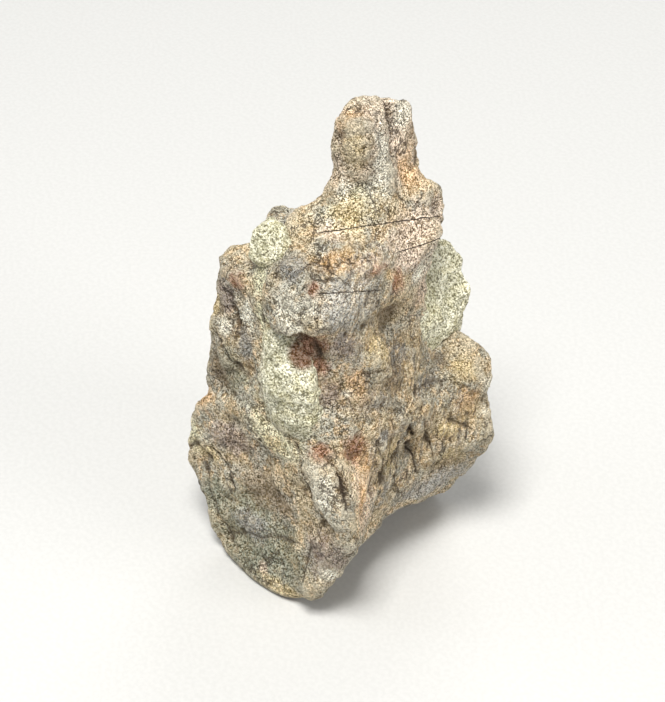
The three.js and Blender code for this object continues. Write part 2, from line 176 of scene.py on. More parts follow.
# Crevices: where, points along it, half width, depth (below zero for a raised line)
CREVICES = [
    ("left of the scar", ((9.8, -25.5, 45), (11.8, -25.5, 39), (15, -26, 31)), 0.55, 1.2),
    ("right of the scar", ((18.5, -21.5, 46), (22.6, -22.5, 42), (24.5, -23.5, 36)), 0.55, 1.3),
    ("slit above the scar", ((16.8, -22.5, 46.5), (19, -22.5, 44.5)), 0.6, 1.4),
    ("step in the face", ((-17, -25.5, 28), (-11.5, -25.5, 24.5), (-10, -25.5, 20)), 0.6, 0.9),
    ("edge of the left rim", ((-25, -25.5, 24), (-21, -25.5, 27), (-18, -25.5, 24)), 0.5, 0.7),
    ("inside the left rim", ((-20, -25.5, 21), (-15, -26, 11), (-7, -27.5, 4.5)), 0.45, 0.5),
    ("arc low on the face", ((-10, -26, 6), (-5, -26, 10), (1, -26.5, 13), (12, -27, 18)), 0.35, 0.45),
    ("cracks of the face", ((-6, -26, 18), (-4.5, -26, 13), (-5.5, -26.5, 9)), 0.35, 0.4),
    ("foot of the scar", ((16, -27, 20), (14.5, -28, 12), (16, -28.5, 6)), 0.5, 0.6),
    ("groove of the spine", ((4, 10.5, 116), (6.3, 9, 106), (8.2, 8.5, 98)), 0.8, 1.9),
    ("fade of the groove", ((8.2, 8.5, 98), (9.6, 9.4, 94.5)), 0.7, 0.5),
    ("notch of the spine", ((4.5, 11.3, 118), (-4, 12.5, 118)), 1.0, 2.4),
    ("upright crack", ((20.6, 1, 42), (21, 3, 35), (20.5, 4, 26)), 0.4, 1.1),
    ("second upright crack", ((21, 6, 40), (21, 7.5, 34), (20.5, 8.5, 28)), 0.35, 0.7),
    ("third upright crack", ((20.5, -4, 46), (21, -5, 38), (21, -7, 30)), 0.35, 0.6),
    ("fourth upright crack", ((20, -9, 44), (21.5, -10, 36), (21.5, -12, 28)), 0.35, 0.5),
    ("fifth upright crack", ((20.5, -1, 41), (21, -1.5, 33), (20.5, -3, 25)), 0.3, 0.5),
    ("layer behind the side", ((19, 5, 48.5), (18, 11, 47.5), (19, 17, 45)), 0.45, 0.5),
    ("layer of the rear side", ((22, 13, 37), (23, 18, 33)), 0.4, 0.6),
    ("under the boss", ((17, -9, 61.5), (18, -5, 60), (17, -1, 62)), 0.5, 0.5),
    ("side of the recess", ((11.5, -21, 73), (12.5, -19.5, 68), (12, -19.5, 61)), 0.6, 0.6),
    ("start of the recess", ((4.5, -25.4, 75), (8, -24.8, 74.3), (11, -22.5, 72.5)), 0.8, 2.0),
    ("raised rim of the facet", ((4.5, -16.5, 91.5), (8.5, -18.5, 90.5), (11, -21, 86)), 0.55, -0.7),
    ("raised rim, lower", ((11, -21, 86), (12, -23, 81), (10.5, -24, 76)), 0.55, -0.6),
    ("beside the rim", ((10.5, -16.5, 90), (13, -19, 85.5), (13.5, -21, 80)), 0.5, 0.3),
    ("left of the facet", ((-3.5, -22.5, 87), (-2.5, -23.5, 79), (-3.5, -23.5, 71)), 0.5, 0.7),
    ("knobs of the right process", ((-20, -22, 75), (-14, -22.5, 72), (-12, -22, 66)), 0.6, 0.8),
    ("low on the right process", ((-21, -22.5, 60), (-15, -22.5, 57), (-10, -23, 55)), 0.6, 0.8),
    ("right side of the arch", ((-15, -2, 72), (-17, 4, 60), (-19, 9, 50)), 0.6, 1.0),
    ("right side of the body", ((-19, -6, 40), (-19, 4, 34), (-21, 12, 30)), 0.6, 0.9),
    ("rear face", ((-12, 26, 40), (-3, 26, 33), (8, 26, 30)), 0.5, 0.8),
    ("rear face, lower", ((-6, 26, 20), (3, 26, 14), (12, 26, 12)), 0.4, 0.6),
]

# Flat breaks: a place on the flat, the way that it faces, and how far round it reaches
FLATS = [
    ("break of the spine's top", (-1, 12, 115.3), (-0.459, 0.454, 0.764), (14, 14, 12)),
    ("front corner of the spine's top", (5.1, -1.3, 116.1), (0.446, -0.5, 0.742), (8, 8, 8)),
    ("left rear facet", (8.5, 22.9, 92.7), (0.527, 0.815, 0.242), (7, 7, 8)),
    ("top of the left rear facet", (7, 20, 96), (0.2, 0.25, 0.95), (6, 6, 5)),
    ("left front facet", (6, -25.2, 82), (0.12, -0.98, 0.14), (12, 6, 12)),
    ("top of the left front facet", (5, -20.5, 90), (0, -0.62, 0.78), (8, 8, 6)),
    ("arch above the facet", (9, -9, 91), (0.45, -0.35, 0.82), (8, 9, 6)),
    ("side of the left front facet", (13, -19, 82), (0.86, -0.42, 0.3), (5, 9, 9)),
    ("foot of the left front facet", (11.5, -23.5, 76.5), (0.6, -0.55, -0.58), (6, 6, 6)),
    ("left process", (16.6, -5, 66), (0.88, 0.1, 0.46), (8, 8, 7)),
    ("front of the right process", (-14, -23.2, 64), (0.1, -1, 0.05), (9, 5, 9)),
    ("top of the right process", (-15, -16, 84), (-0.25, -0.3, 0.92), (9, 9, 5)),
    ("outer edge of the right process", (-22.6, -18, 66), (-0.95, -0.3, 0), (5, 9, 9)),
    ("left rim", (-27, -21, 30), (-0.95, -0.3, 0.1), (5, 8, 9)),
    ("lower left rim", (-19, -24, 10), (-0.75, -0.2, -0.6), (8, 7, 8)),
    ("rear rim shoulder", (24.5, 22, 46.5), (0.8, 0.25, 0.55), (8, 8, 8)),
    ("rear rim", (28, 21, 36), (0.97, 0.2, -0.1), (5, 8, 7)),
    ("lower rear rim", (23.5, 22, 17), (0.85, 0.2, -0.5), (8, 8, 8)),
    ("right rear rim", (-24, 20, 38), (-0.9, 0.3, 0.3), (8, 9, 9)),
    ("right side of the arch", (-17, 2, 66), (-0.95, 0.1, 0.3), (6, 9, 10)),
]

# Hair cracks as planes: height at the origin, rise towards +X and +Y, and the y range seen
HAIR_CRACKS = {
    "crack_glued": (86.6, 0.69, -0.417, -10.0, 19.0),
    "crack_side": (68.6, 0.669, -0.518, -18.0, -4.0),
    "crack_rear": (74.5, 0.926, -0.261, 3.0, 19.0),
}

# Stains by colour: where, centre, radii and, for a faint one, its full strength
STAINS = {
    "green": [
        ("lower face", (1, -27, 12), (11, 4, 8)),
        ("middle of the face", (-4, -25.5, 18), (9, 4, 6)),
        ("left of the face", (-15, -25.5, 14), (6, 4, 7)),
        ("low right process", (-13, -22.5, 53), (5, 4, 7)),
        ("rear face", (-4, 26, 16), (10, 4, 8)),
        ("lower half of the face", (0, -27, 10), (19, 7, 14), 0.95),
    ],
    "brown": [
        ("hollow above the boss", (14.3, 2, 70), (3.5, 5, 2.6)),
        ("arch side low", (16, -2, 54), (4, 6, 4)),
        ("middle of the face", (0, -24, 24), (10, 4, 6)),
        ("right process foot", (-18, -23, 50), (5, 4, 6)),
        ("pit of the spine", (0.2, -3.2, 113), (1.6, 2, 1.5)),
        ("crevice left of the scar", (11.6, -25.5, 39), (1.2, 2, 5.5)),
        ("crevice right of the scar", (22, -22.5, 42), (1.6, 2, 4)),
        ("keel", (4, 4, 8), (9, 14, 4)),
        ("upper half of the face", (-5, -25, 29), (17, 6, 9), 0.5),
        ("foot of the right process", (-16, -22, 52), (10, 7, 7), 0.5),
        ("keel and low rims", (0, 2, 5), (14, 20, 6), 0.6),
        ("rear face", (0, 26, 24), (18, 4, 15), 0.4),
    ],
    "purple": [
        ("right process", (-16, -21, 71), (4, 4, 6)),
        ("upper left of the face", (-11, -25, 34), (7, 3, 5)),
        ("arch foot", (13.5, -17, 58.5), (3, 3, 4)),
        ("under the lower scar", (21, -26, 22), (4, 3, 4)),
        ("arch rear", (13, 7, 82), (3, 5, 4)),
        ("front side of the arch", (14.5, -14, 70), (3, 4, 5)),
        ("right side", (-20, -4, 28), (4, 10, 8)),
        ("right process", (-16, -21, 68), (9, 7, 15), 0.4),
        ("band under the scar", (21, -26, 20), (7, 5, 8), 0.95),
        ("left side above the seam", (17, -10, 55), (5, 10, 7), 0.45),
    ],
    "slate": [
        ("side of the arch", (13.4, -13, 87.5), (2.5, 3.2, 3)),
        ("arch front side", (14.8, -16, 79), (3, 4, 5)),
        ("middle of the side", (15.6, 2, 59.5), (3, 4, 3)),
        ("spot below the boss", (18.3, -7.4, 52.8), (2, 2.2, 2.4)),
        ("groove behind", (18.5, 9, 48.5), (3, 6, 2.2)),
        ("fibres of the side", (20.8, -6.5, 43), (3, 2.5, 4)),
        ("under the side", (21, 12, 17), (4, 8, 4)),
        ("top of the left facet", (4, -20, 90), (5, 4, 3.5)),
        ("low on the face", (-3, -27, 14), (6, 3, 4)),
        ("inner edge of the right process", (-9, -22, 62), (3, 3, 6)),
        ("underside", (15, 2, 11), (10, 24, 6), 0.6),
        ("left side of the arch", (15, -12, 71), (5, 9, 9), 0.35),
        ("band under the side", (21, 8, 19), (5, 15, 4.5), 0.6),
        ("right side", (-20, 4, 26), (6, 18, 10), 0.45),
    ],
    "ash": [
        ("band under the side", (21, 8, 19), (4, 13, 3.6)),
        ("arch side", (14.5, -12, 84), (3, 6, 6)),
        ("underside by the rear rim", (22, 18, 15), (4, 6, 4)),
        ("knob behind the lump", (-9, -9, 91), (4, 4, 3)),
        ("steep side", (20.8, -4, 40), (5, 9, 11), 0.3),
        ("arch behind the facet", (13, -12, 81), (4, 9, 9), 0.95),
        ("rear face, right", (-16, 25, 30), (8, 5, 14), 0.5),
    ],
    "pink": [
        ("fibres of the arch", (12.5, -5, 87), (3, 5, 3)),
        ("foot of the spine", (5, -8, 93.5), (4, 4, 2.5)),
        ("rear facet", (9, 18, 87), (4, 4, 6)),
        ("arch below the crack", (13.5, 6, 84), (3, 6, 4)),
        ("arch rear wall", (12, 13, 72), (3, 5, 7)),
        ("spot on the foot of the face", (3, -29, 5.5), (1.6, 2, 1.6)),
        ("front of the left side", (22, -13, 30), (3.5, 3.5, 7)),
        ("spine", (2, 8, 106), (9, 14, 16), 0.95),
        ("arch behind the crack", (12, 9, 87), (5, 12, 8), 0.9),
        ("front of the left side", (21.5, -15, 31), (5, 6, 13), 0.95),
        ("arch rear", (12, 12, 80), (5, 9, 9), 0.4),
        ("right side of the arch", (-13, 6, 78), (6, 12, 12), 0.6),
    ],
    "sand": [
        ("round the canal", (6, -25, 55), (9, 5, 12)),
        ("below the canal", (3.5, -25.5, 43), (8, 4, 6)),
        ("under the rear rock", (2, 25, 44), (12, 4, 3.5)),
        ("left rim", (-23, -25, 28), (4, 4, 5)),
        ("below the rock lump", (-5, -20.5, 82), (3.5, 4, 5)),
        ("between lump and canal", (-3, -22.5, 73), (3, 4, 6)),
        ("spine side", (6, -1, 99), (3, 4, 4)),
        ("by the rear rock", (11, 18, 62), (3, 4, 7)),
        ("foot of the spine", (4, -6, 96), (6, 6, 5), 0.5),
        ("round the canal's mouth", (3, -24.5, 56), (12, 5, 18), 0.6),
    ],
    "chalk": [
        ("left front facet", (7.5, -25, 84), (5, 3, 6)),
        ("foot of the facet", (9.5, -25, 78), (3, 3, 3)),
        ("scar of the rim", (18, -26, 38), (5.5, 3, 7)),
        ("lower scar", (22, -26, 15), (3, 3, 3)),
        ("rim of the facet", (11.5, -21.5, 85), (1.6, 3, 5)),
        ("top of the strip", (4, 14.5, 112), (4, 3.5, 4)),
        ("spine middle", (7, 3, 100), (3, 4, 5)),
        ("spine side", (6.6, 5, 106), (3, 3, 11)),
        ("spine front edge", (4, -4, 101), (2, 2, 4)),
        ("edge of the right process", (-15.5, -22.4, 63.5), (2.5, 3, 3)),
        ("inside of the right process", (-9, -21.7, 70), (3, 3, 5)),
        ("rear rim edge", (26, 21.5, 42), (2.5, 3, 8)),
        ("spot on the arch", (15, -12.8, 57.5), (1.8, 2, 1.8)),
        ("arch rear", (13, 9, 78), (3, 3, 2.5)),
        ("right rear rim", (-22, 23, 34), (4, 4, 9)),
    ],
    "ochre": [
        ("boss of the left process", (16.6, -5, 66), (3.5, 4.5, 4.5)),
        ("front of the spine", (4.5, -1, 111), (3, 3, 5)),
        ("spine foot", (6, -5, 97), (4, 5, 4.5)),
        ("edge of the right process", (-22, -21, 66), (4, 4, 8)),
        ("left rim", (-19, -26, 26), (5, 3, 3)),
        ("side near the rear", (22, 12, 35), (3, 3.5, 3)),
        ("rear rim side", (22.5, 12.5, 26), (3, 5, 4)),
        ("face below the rock", (3, -25.5, 42), (4, 3, 3)),
        ("foot of the face", (10, -29.5, 3.5), (8, 3, 2.2)),
        ("rear shoulder", (21, 17, 49), (4, 4, 4)),
        ("rear face", (4, 26, 34), (9, 3, 7)),
        ("right side of the arch", (-16, 4, 70), (4, 7, 8)),
        ("steep fibres", (20.8, -4, 36), (3, 3, 6)),
        ("foot of the spine", (6, 0, 96), (8, 12, 5), 0.55),
        ("rear of the side", (23, 15, 36), (7, 9, 12), 0.35),
        ("rear face, upper", (8, 26, 38), (12, 4, 8), 0.5),
    ],
    "orange": [
        ("fibres over the facet", (9, -11, 89.5), (4, 5, 2.2)),
        ("streak down the arch", (15, -11.3, 60), (3, 2.6, 6)),
        ("low side streak", (22, -16, 31), (3.5, 2.4, 8)),
        ("side above the streak", (20.5, -13.5, 40), (3, 3, 5)),
        ("left edge of the face", (-21, -24, 40), (3.5, 3, 3)),
        ("front of the spine", (1, 1, 114), (3, 3, 4)),
        ("spine strip", (6, 14, 97), (3, 5, 7)),
        ("rear of the side", (23.5, 17, 41), (3, 4, 3.5)),
        ("right side", (-19, 4, 40), (4, 8, 6)),
        ("rear of the spine", (0, 20, 104), (4, 3, 10)),
        ("top of the arch", (8, -6, 90), (9, 12, 4), 0.3),
        ("right side below the arch", (-20, 0, 46), (5, 10, 6), 0.5),
    ],
    "rust": [
        ("recess under the facet", (10.8, -22.5, 70), (3.2, 5, 4.6)),
        ("right of the recess", (12.6, -20.5, 72), (3, 4, 3.8)),
        ("depth of the recess", (8.5, -18.6, 70.2), (5, 4.5, 4)),
        ("point of the recess", (7.5, -24, 73.6), (2.6, 3, 1.6)),
        ("lower end of the recess", (10.4, -18, 65.5), (2.4, 3, 3.5)),
        ("hollow beside the facet", (10.4, -19.5, 87.5), (1.6, 2, 2.4)),
        ("rim beside the facet", (10, -16.7, 90.5), (1.5, 1.8, 2)),
        ("spot on the right process", (-12, -21, 77.5), (3, 3, 2.5)),
        ("spot on the arch side", (15.5, 1.2, 80), (2, 2.6, 3)),
        ("above the scar", (16, -23, 46), (3, 3, 2)),
        ("side above the scar", (18.6, -15, 44), (3, 3.5, 4)),
        ("arch below the spine", (13.5, -4, 86), (2.5, 3, 1.5)),
        ("right side of the centrum", (-20, 10, 36), (3, 4, 5)),
    ],
}

# Lighter and darker bone: where, centre, radii, share added to its brightness
TONES = [
    ("left front facet", (6, -24.5, 86), (8, 6, 7), -0.26),
    ("front of the left side", (22, -15, 31), (5, 6, 12), 0.36),
    ("band under the side", (21, 8, 19), (6, 16, 5), -0.24),
    ("arch behind the facet", (13.5, -12, 82), (5, 8, 7), 0.26),
    ("spine", (5, 0, 108), (8, 9, 13), -0.2),
    ("foot of the spine", (9, -8, 91), (7, 9, 5), -0.16),
    ("upper left of the face", (-12, -25, 33), (9, 5, 8), 0.2),
]

# Fibres show where the outer layer of the bone is left: where, centre, radii
FIBROUS = [
    ("side of the centrum", (20.5, -2, 34), (6, 16, 13)),
    ("rear of the side", (23, 16, 34), (6, 10, 12)),
    ("fan over the facet", (11, -8, 88), (6, 9, 5)),
    ("arch side", (15, -8, 74), (5, 10, 12)),
    ("upper side", (17, 3, 56), (6, 14, 10)),
    ("right side", (-20, 4, 32), (6, 18, 14)),
    ("rear of the spine", (0, 20, 102), (5, 4, 12)),
    ("right side of the arch", (-15, 4, 68), (5, 10, 10)),
]

# Where parts run into one another without an edge: where, centre, radii
SOFTENED = [
    ("left side below the arch", (20, -1, 50), (9, 17, 10)),
    ("right side below the arch", (-20, 4, 50), (9, 17, 10)),
    ("round the left process", (17, -5, 62), (9, 11, 11)),
    ("behind the left front facet", (14, -12, 80), (7, 9, 9)),
    ("foot of the spine", (5, -3, 95), (7, 7, 5)),
    ("between the front facets", (-3, -17, 84), (6, 7, 8)),
    ("inner edge of the right process", (-8, -22, 60), (4, 5, 16)),
]

# Smoother bone: where, centre, radii
SMOOTH_BONE = [
    ("strip behind the groove", (5, 15, 104), (4, 5, 12)),
    ("front face", (-2, -26, 20), (17, 5, 14)),
    ("arch rear wall", (13, 10, 76), (4, 8, 8)),
    ("top of the arch", (9, -6, 90), (9, 11, 6)),
    ("underside of the side", (20, 6, 18), (5, 16, 6)),
]

# Crumbly broken bone: where, centre, radii
CRUMBLY = [
    ("scar of the broken rim", (18.5, -26, 38), (5.5, 3, 8)),
    ("foot of the scar", (20, -27, 12), (5, 3, 7)),
    ("knob behind the rock lump", (-9, -9, 91), (4, 4, 3)),
    ("edge of the right process", (-20, -22, 68), (5, 3, 11)),
]

# The colour of each stain, in the order in which they are laid over one another
STAIN_COLOURS = {
    "green": (0.185, 0.195, 0.135),
    "brown": (0.2, 0.148, 0.088),
    "purple": (0.235, 0.178, 0.15),
    "slate": (0.215, 0.212, 0.198),
    "ash": (0.4, 0.39, 0.355),
    "pink": (0.6, 0.465, 0.345),
    "sand": (0.62, 0.59, 0.38),
    "chalk": (0.7, 0.665, 0.54),
    "ochre": (0.56, 0.43, 0.2),
    "orange": (0.54, 0.32, 0.13),
    "rust": (0.26, 0.09, 0.035),
}
SMALL_PATCHED = ("rust", "brown", "chalk")

# Other colours laid on the bone, the sandstone and the floor
PAINTS = {
    "warm bone": (0.5, 0.345, 0.165),
    "warm fibre": (0.56, 0.4, 0.21),
    "cool fibre": (0.22, 0.205, 0.185),
    "dark fibre": (0.085, 0.062, 0.04),
    "pale fibre": (0.66, 0.56, 0.41),
    "warm grain": (0.52, 0.36, 0.15),
    "worn bone": (0.7, 0.63, 0.48),
    # Painted shade for the bone's hollows
    "hollow bone": (0.09, 0.06, 0.035),
    # Painted shade for the crevices: a broad brown part and a dark core
    "painted crevice shade": (0.1, 0.07, 0.045),
    "crevice": (0.04, 0.027, 0.018),
    "crackle": (0.06, 0.04, 0.025),
    "hair crack": (0.035, 0.022, 0.015),
    "olive sand": (0.46, 0.43, 0.24),
    "yellow sand": (0.66, 0.6, 0.34),
    "bone dust": (0.36, 0.3, 0.21),
    "rusty sand": (0.22, 0.09, 0.04),
    "worn sand": (0.8, 0.78, 0.6),
    # Painted shade for the sandstone's hollows
    "hollow sand": (0.16, 0.15, 0.08),
    "paper": (0.6, 0.6, 0.59),
    "pale paper": (0.63, 0.63, 0.62),
}

# How finely the surfaces are laid out, and how many rounds of smoothing each stage gets
CENTRUM_GRID, ARCH_GRID, STUMP_GRID = (104, 80), (96, 80), (40, 24)
CANAL_ROCK_GRID, REAR_ROCK_GRID, FRONT_ROCK_GRID = (64, 64), (72, 48), (40, 28)
ROCK_CUBE_SHARE = 0.8
SKIN_ROUNDS, SOFT_ROUNDS, BREAK_ROUNDS = 5, 120, 3
# How far the painted shade reaches beside a crevice, the crevice depth at which it is darkest, and its
# faintest share
CREVICE_REACH, DARKEST_DEPTH, FAINTEST = 1.3, 1.1, 0.2
FLOOR_FADE = (0.2, 4.0)

# Flat cuts through the pieces of rock: the way that each faces, and its distance from the origin
CANAL_ROCK_CUTS = [((0.728, -0.3, 0.616), 55.2)]
REAR_ROCK_CUTS = [
    ((0.288, 0.838, 0.463), 59.0),
    ((0.533, 0.812, 0.235), 44.9),
    ((0.75, 0.55, 0.35), 48.5),
    ((0.9, 0.35, -0.2), 11.0),
    ((0.35, 0.55, 0.75), 71.0),
    ((-0.7, 0.6, 0.4), 46.5),
    ((-0.9, 0.3, -0.1), 10.5),
    ((0.2, 0.95, -0.25), 13.6),
    ((-0.25, 0.9, 0.35), 49.5),
]

# Patches on the pieces of rock: where, centre, radii
CANAL_ROCK_DUST = [
    ("lower end", (6, -26, 45), (9, 5, 4)),
    ("inner edge", (-2, -24, 58), (3, 5, 9)),
]
CANAL_ROCK_RUST = [
    ("cut beside the recess", (10, -21, 70.5), (4, 5, 4.5)),
    ("point of the recess", (7, -23, 73.5), (2.6, 3, 1.8)),
]
FRONT_ROCK_DUST = [("foot", (-5.5, -15, 82), (5, 5, 2))]

# Lights: name, where it stands, its side, power and colour
LIGHTS = [
    ("key_light", (0.12, -0.28, 0.95), 0.35, 11.5, (1, 0.98, 0.94)),
    ("front_light", (-0.75, -0.6, 0.45), 0.5, 1.5, (0.97, 0.98, 1)),
    ("side_light", (0.9, 0.3, 0.5), 0.5, 4.0, (1, 0.97, 0.93)),
    ("rear_light", (-0.5, 0.85, 0.6), 0.6, 4.0, (1, 0.99, 0.97)),
]
SKY_COLOUR, SKY_STRENGTH = (0.9, 0.95, 1, 1), 0.25
LOOK_AT, CAMERA_DISTANCE, CAMERA_LENS = (0.0014, -0.0046, 0.056), 0.52, 119.0


# Shapes


def smooth(low, high, x):
    """Zero below low, one above high, and an even S-curve between."""
    t = np.clip((x - low) / (high - low), 0, 1)
    return t * t * (3 - 2 * t)


def bent(value, squareness):
    """A cosine or sine bent towards a square, for rounded box sections."""
    return np.sign(value) * np.abs(value) ** (2 / squareness)


def between(stations, x):
    """One array per column: a cubic through each pair of stations, slopes from the neighbours."""
    table = np.array(stations, float)
    knots, values = table[:, 0], table[:, 1:]
    ends = np.arange(len(knots))
    after, before = np.minimum(ends + 1, ends[-1]), np.maximum(ends - 1, 0)
    slopes = (values[after] - values[before]) / (knots[after] - knots[before])[:, None]
    x = np.clip(x, knots[0], knots[-1])
    i = np.clip(np.searchsorted(knots, x, side="right") - 1, 0, ends[-1] - 1)
    span = (knots[i + 1] - knots[i])[..., None]
    t = (x[..., None] - knots[i][..., None]) / span
    rise = t * t * (3 - 2 * t)
    level = values[i] * (1 - rise) + values[i + 1] * rise
    curve = span * t * (1 - t) * ((1 - t) * slopes[i] - t * slopes[i + 1])
    return np.moveaxis(level + curve, -1, 0)


def worn(points):
    """Shifts every point by slow sine waves of its own place, which fade out at the floor."""
    x, y, z = np.moveaxis(points, -1, 0)
    hold = smooth(1, 9, z)
    wave = lambda a, b, c: np.sin(a * x + b * y + c * z)
    return np.stack(
        [
            x + hold * (0.5 * wave(0.11, 0.31, 0.23) + 0.3 * wave(0.47, -0.39, 0.52)),
            y + hold * (0.5 * wave(0.29, -0.13, 0.21) + 0.3 * wave(-0.41, 0.45, 0.5)),
            z + hold * (0.4 * wave(0.27, 0.19, -0.15) + 0.2 * wave(0.5, 0.37, 0.44)),
        ],
        -1,
    )


def closed_surface(place, around, along):
    """Points and faces of a closed surface: place(turn, run) with a pole at run 0 and at run 1."""
    turn = 2 * np.pi * np.arange(around) / around
    run = np.arange(1, along) / along
    runs, turns = np.meshgrid(run, turn, indexing="ij")
    rings = place(turns, runs).reshape(-1, 3)
    poles = place(np.zeros(2), np.array([0.0, 1.0]))
    points = np.concatenate([rings, poles])
    index = np.arange(len(rings)).reshape(along - 1, around)
    ahead = np.roll(index, -1, axis=1)
    quads = np.stack([index[:-1], ahead[:-1], ahead[1:], index[1:]], -1).reshape(-1, 4)
    first, last = len(rings), len(rings) + 1
    caps = [(first, b, a) for a, b in zip(index[0], ahead[0])]
    caps += [(last, a, b) for a, b in zip(index[-1], ahead[-1])]
    return worn(points) + AXIS_OFFSET, quads.tolist() + [tuple(map(int, cap)) for cap in caps]


def oval_radius(turn, half_width, half_height, squareness):
    """Distance from the middle to an oval with square-ish corners, at an angle."""
    wide = np.abs(np.cos(turn) / half_width) ** squareness
    tall = np.abs(np.sin(turn) / half_height) ** squareness
    return (wide + tall) ** (-1 / squareness)


def centrum_place(turn, run):
    """Spool: a profile from one dished face, over its rim and along the waist, to the other."""
    half = CENTRUM_LENGTH / 2
    end = np.where(run < 0.5, -1.0, 1.0)
    inward = np.minimum(run, 1 - run)
    share = np.clip(inward / FACE_SHARE, 0, 1)
    bend = np.clip((inward - FACE_SHARE) / LIP_SHARE, 0, 1) * np.pi / 2
    left = np.clip((inward - FACE_SHARE - LIP_SHARE) / (0.5 - FACE_SHARE - LIP_SHARE), 0, 1)
    reach = RIM_START * share + (1 - RIM_START) * np.sin(bend)
    depth = DISH_DEPTH * (1 - share**2) + LIP * (1 - np.cos(bend)) + (half - LIP) * left
    y = end * (half - depth)
    flare = np.minimum(np.abs(y) / (half - LIP), 1) ** WAIST_CURVE
    degrees = (np.degrees(turn) + 180) % 360 - 180
    rim = np.where(end < 0, between(FRONT_RIM, degrees)[0], between(REAR_RIM, degrees)[0])
    middle = FRONT_MIDDLE + (REAR_MIDDLE - FRONT_MIDDLE) * smooth(-half, half, y)
    tall = np.where(turn < np.pi, WAIST_TOP - middle, middle - WAIST_KEEL)
    waist = oval_radius(turn, WAIST_HALF_WIDTH, tall, WAIST_SQUARENESS)
    out = (waist + (rim - waist) * flare) * reach
    z = middle + out * np.sin(turn)
    jut = LOWER_LIP_JUT * np.exp(-(((degrees - LOWER_LIP_ANGLE) / LOWER_LIP_SPREAD) ** 2))
    lean = np.where(end < 0, flare * (FACE_LEAN * (z - FRONT_MIDDLE) - jut * reach**2), 0)
    return np.stack([out * np.cos(turn), y + lean, z], -1)


def arch_place(turn, run):
    """Arch and spine: a rounded box section carried up the stations, closed by flat ends."""
    low, high = ARCH_STATIONS[0][0], ARCH_STATIONS[-1][0]
    cap = 0.06
    reach = np.minimum(1, np.minimum(run / cap, (1 - run) / cap))
    climb = np.clip((run - cap) / (1 - 2 * cap), 0, 1)
    z = low + (high - low) * climb
    front, rear, right, left, square = between(ARCH_STATIONS, z)
    across = bent(np.cos(turn), square) * reach
    fore = bent(np.sin(turn), square) * reach
    y = (front + rear) / 2 + (rear - front) / 2 * fore
    groove = smooth(8.5, 10.5, y) * smooth(92, 100, z)
    side = np.where(across > 0, left * (1 - 0.32 * groove), -right)
    crown = np.where(climb > 0.5, 0.8 * (1 - reach), 0)
    return np.stack([across * side, y, z + crown], -1)


def stump_place(root, tip, root_half, tip_half, squareness):
    """Stump: an oval section carried straight from root to tip, with rounded ends."""
    start, way = np.array(root, float), np.array(tip, float) - np.array(root, float)
    along = way / np.linalg.norm(way)
    side = np.cross(along, (0, 1, 0) if along[2] > 0.7 else (0, 0, 1))
    side /= np.linalg.norm(side)
    over = np.cross(side, along)
    cap = 0.3

    def place(turn, run):
        bend = np.minimum(np.minimum(run, 1 - run) / cap, 1) * np.pi / 2
        reach = np.sin(bend) ** (1.44 / squareness)
        share = np.clip((run - cap) / (1 - 2 * cap), 0, 1)[..., None]
        bulge = -2.5 * np.cos(bend) ** 2 * np.where(run < 0.5, 1, -1)
        half = np.array(root_half) * (1 - share) + np.array(tip_half) * share
        wide = half[..., 0] * reach * bent(np.cos(turn), squareness)
        tall = half[..., 1] * reach * bent(np.sin(turn), squareness)
        centre = start + way * share
        return centre + bulge[..., None] * along + wide[..., None] * side + tall[..., None] * over

    return place


def canal_rock_place(turn, run):
    """Plug of rock: a wide shallow dome over the canal's mouth, drawn in to an oval plug behind."""
    cap = 0.4
    front = np.minimum(run / cap, 1)
    rear = np.minimum((1 - run) / 0.15, 1)
    share = np.clip((run - cap) / (1 - cap), 0, 1)
    mouth = 1 - smooth(0, 0.25, share)
    y = CANAL_FRONT + 4.2 * front**2 + (CANAL_REAR - CANAL_FRONT - 4.2) * share
    reach = front * np.sqrt(1 - (1 - rear) ** 2)
    width = (CANAL_HALF[0] + (CANAL_MOUTH_HALF[0] - CANAL_HALF[0]) * mouth) * reach
    height = (CANAL_HALF[1] + (CANAL_MOUTH_HALF[1] - CANAL_HALF[1]) * mouth) * reach
    lean = 0.08 * height * np.sin(turn)
    x = CANAL_X + 0.6 * mouth - lean + width * bent(np.cos(turn), 2.3)
    return np.stack([x, y, CANAL_Z + 1.8 * mouth + height * bent(np.sin(turn), 2.2)], -1)


def rear_rock_place(turn, run):
    """Slab of rock behind the arch: rounded edges, narrower towards its top."""
    cap = 0.24
    bend = np.minimum(np.minimum(run, 1 - run) / cap, 1) * np.pi / 2
    reach = np.sin(bend) ** 0.5
    share = np.clip((run - cap) / (1 - 2 * cap), 0, 1)
    y = REAR_ROCK_FRONT + (REAR_ROCK_REAR - REAR_ROCK_FRONT) * share
    rise = bent(np.sin(turn), 2.8)
    taper = 1 - 0.36 * smooth(-0.2, 1, rise)
    x = REAR_ROCK_HALF[0] * taper * reach * bent(np.cos(turn), 2.8)
    bulge = np.cos(bend) * 1.5 * np.where(run < 0.5, 1, -1)
    return np.stack([x, y - bulge, REAR_ROCK_Z + REAR_ROCK_HALF[1] * reach * rise], -1)


def front_rock_place(turn, run):
    """Round lump of rock on the front of the arch."""
    tilt = np.pi * run
    ball = np.stack([np.sin(tilt) * np.cos(turn), np.sin(tilt) * np.sin(turn), np.cos(tilt)], -1)
    return np.array(FRONT_ROCK_CENTRE) + FRONT_ROCK_RADIUS * ball * (1, 1, 1.08)


# Random fields that come out the same each time


def hashed(cells, seed):
    """A number from 0 to 1 for each whole-number cell, by mixing the bits of its place."""
    x, y, z = (cells[..., k].astype(np.int64) for k in range(3))
    n = (x * 73856093) ^ (y * 19349663) ^ (z * 83492791) ^ (seed * 40503)
    n &= 0xFFFFFFFF
    n = ((n ^ (n >> 15)) * 2246822519) & 0xFFFFFFFF
    n = ((n ^ (n >> 13)) * 3266489917) & 0xFFFFFFFF
    return (n ^ (n >> 16)) / 2**32


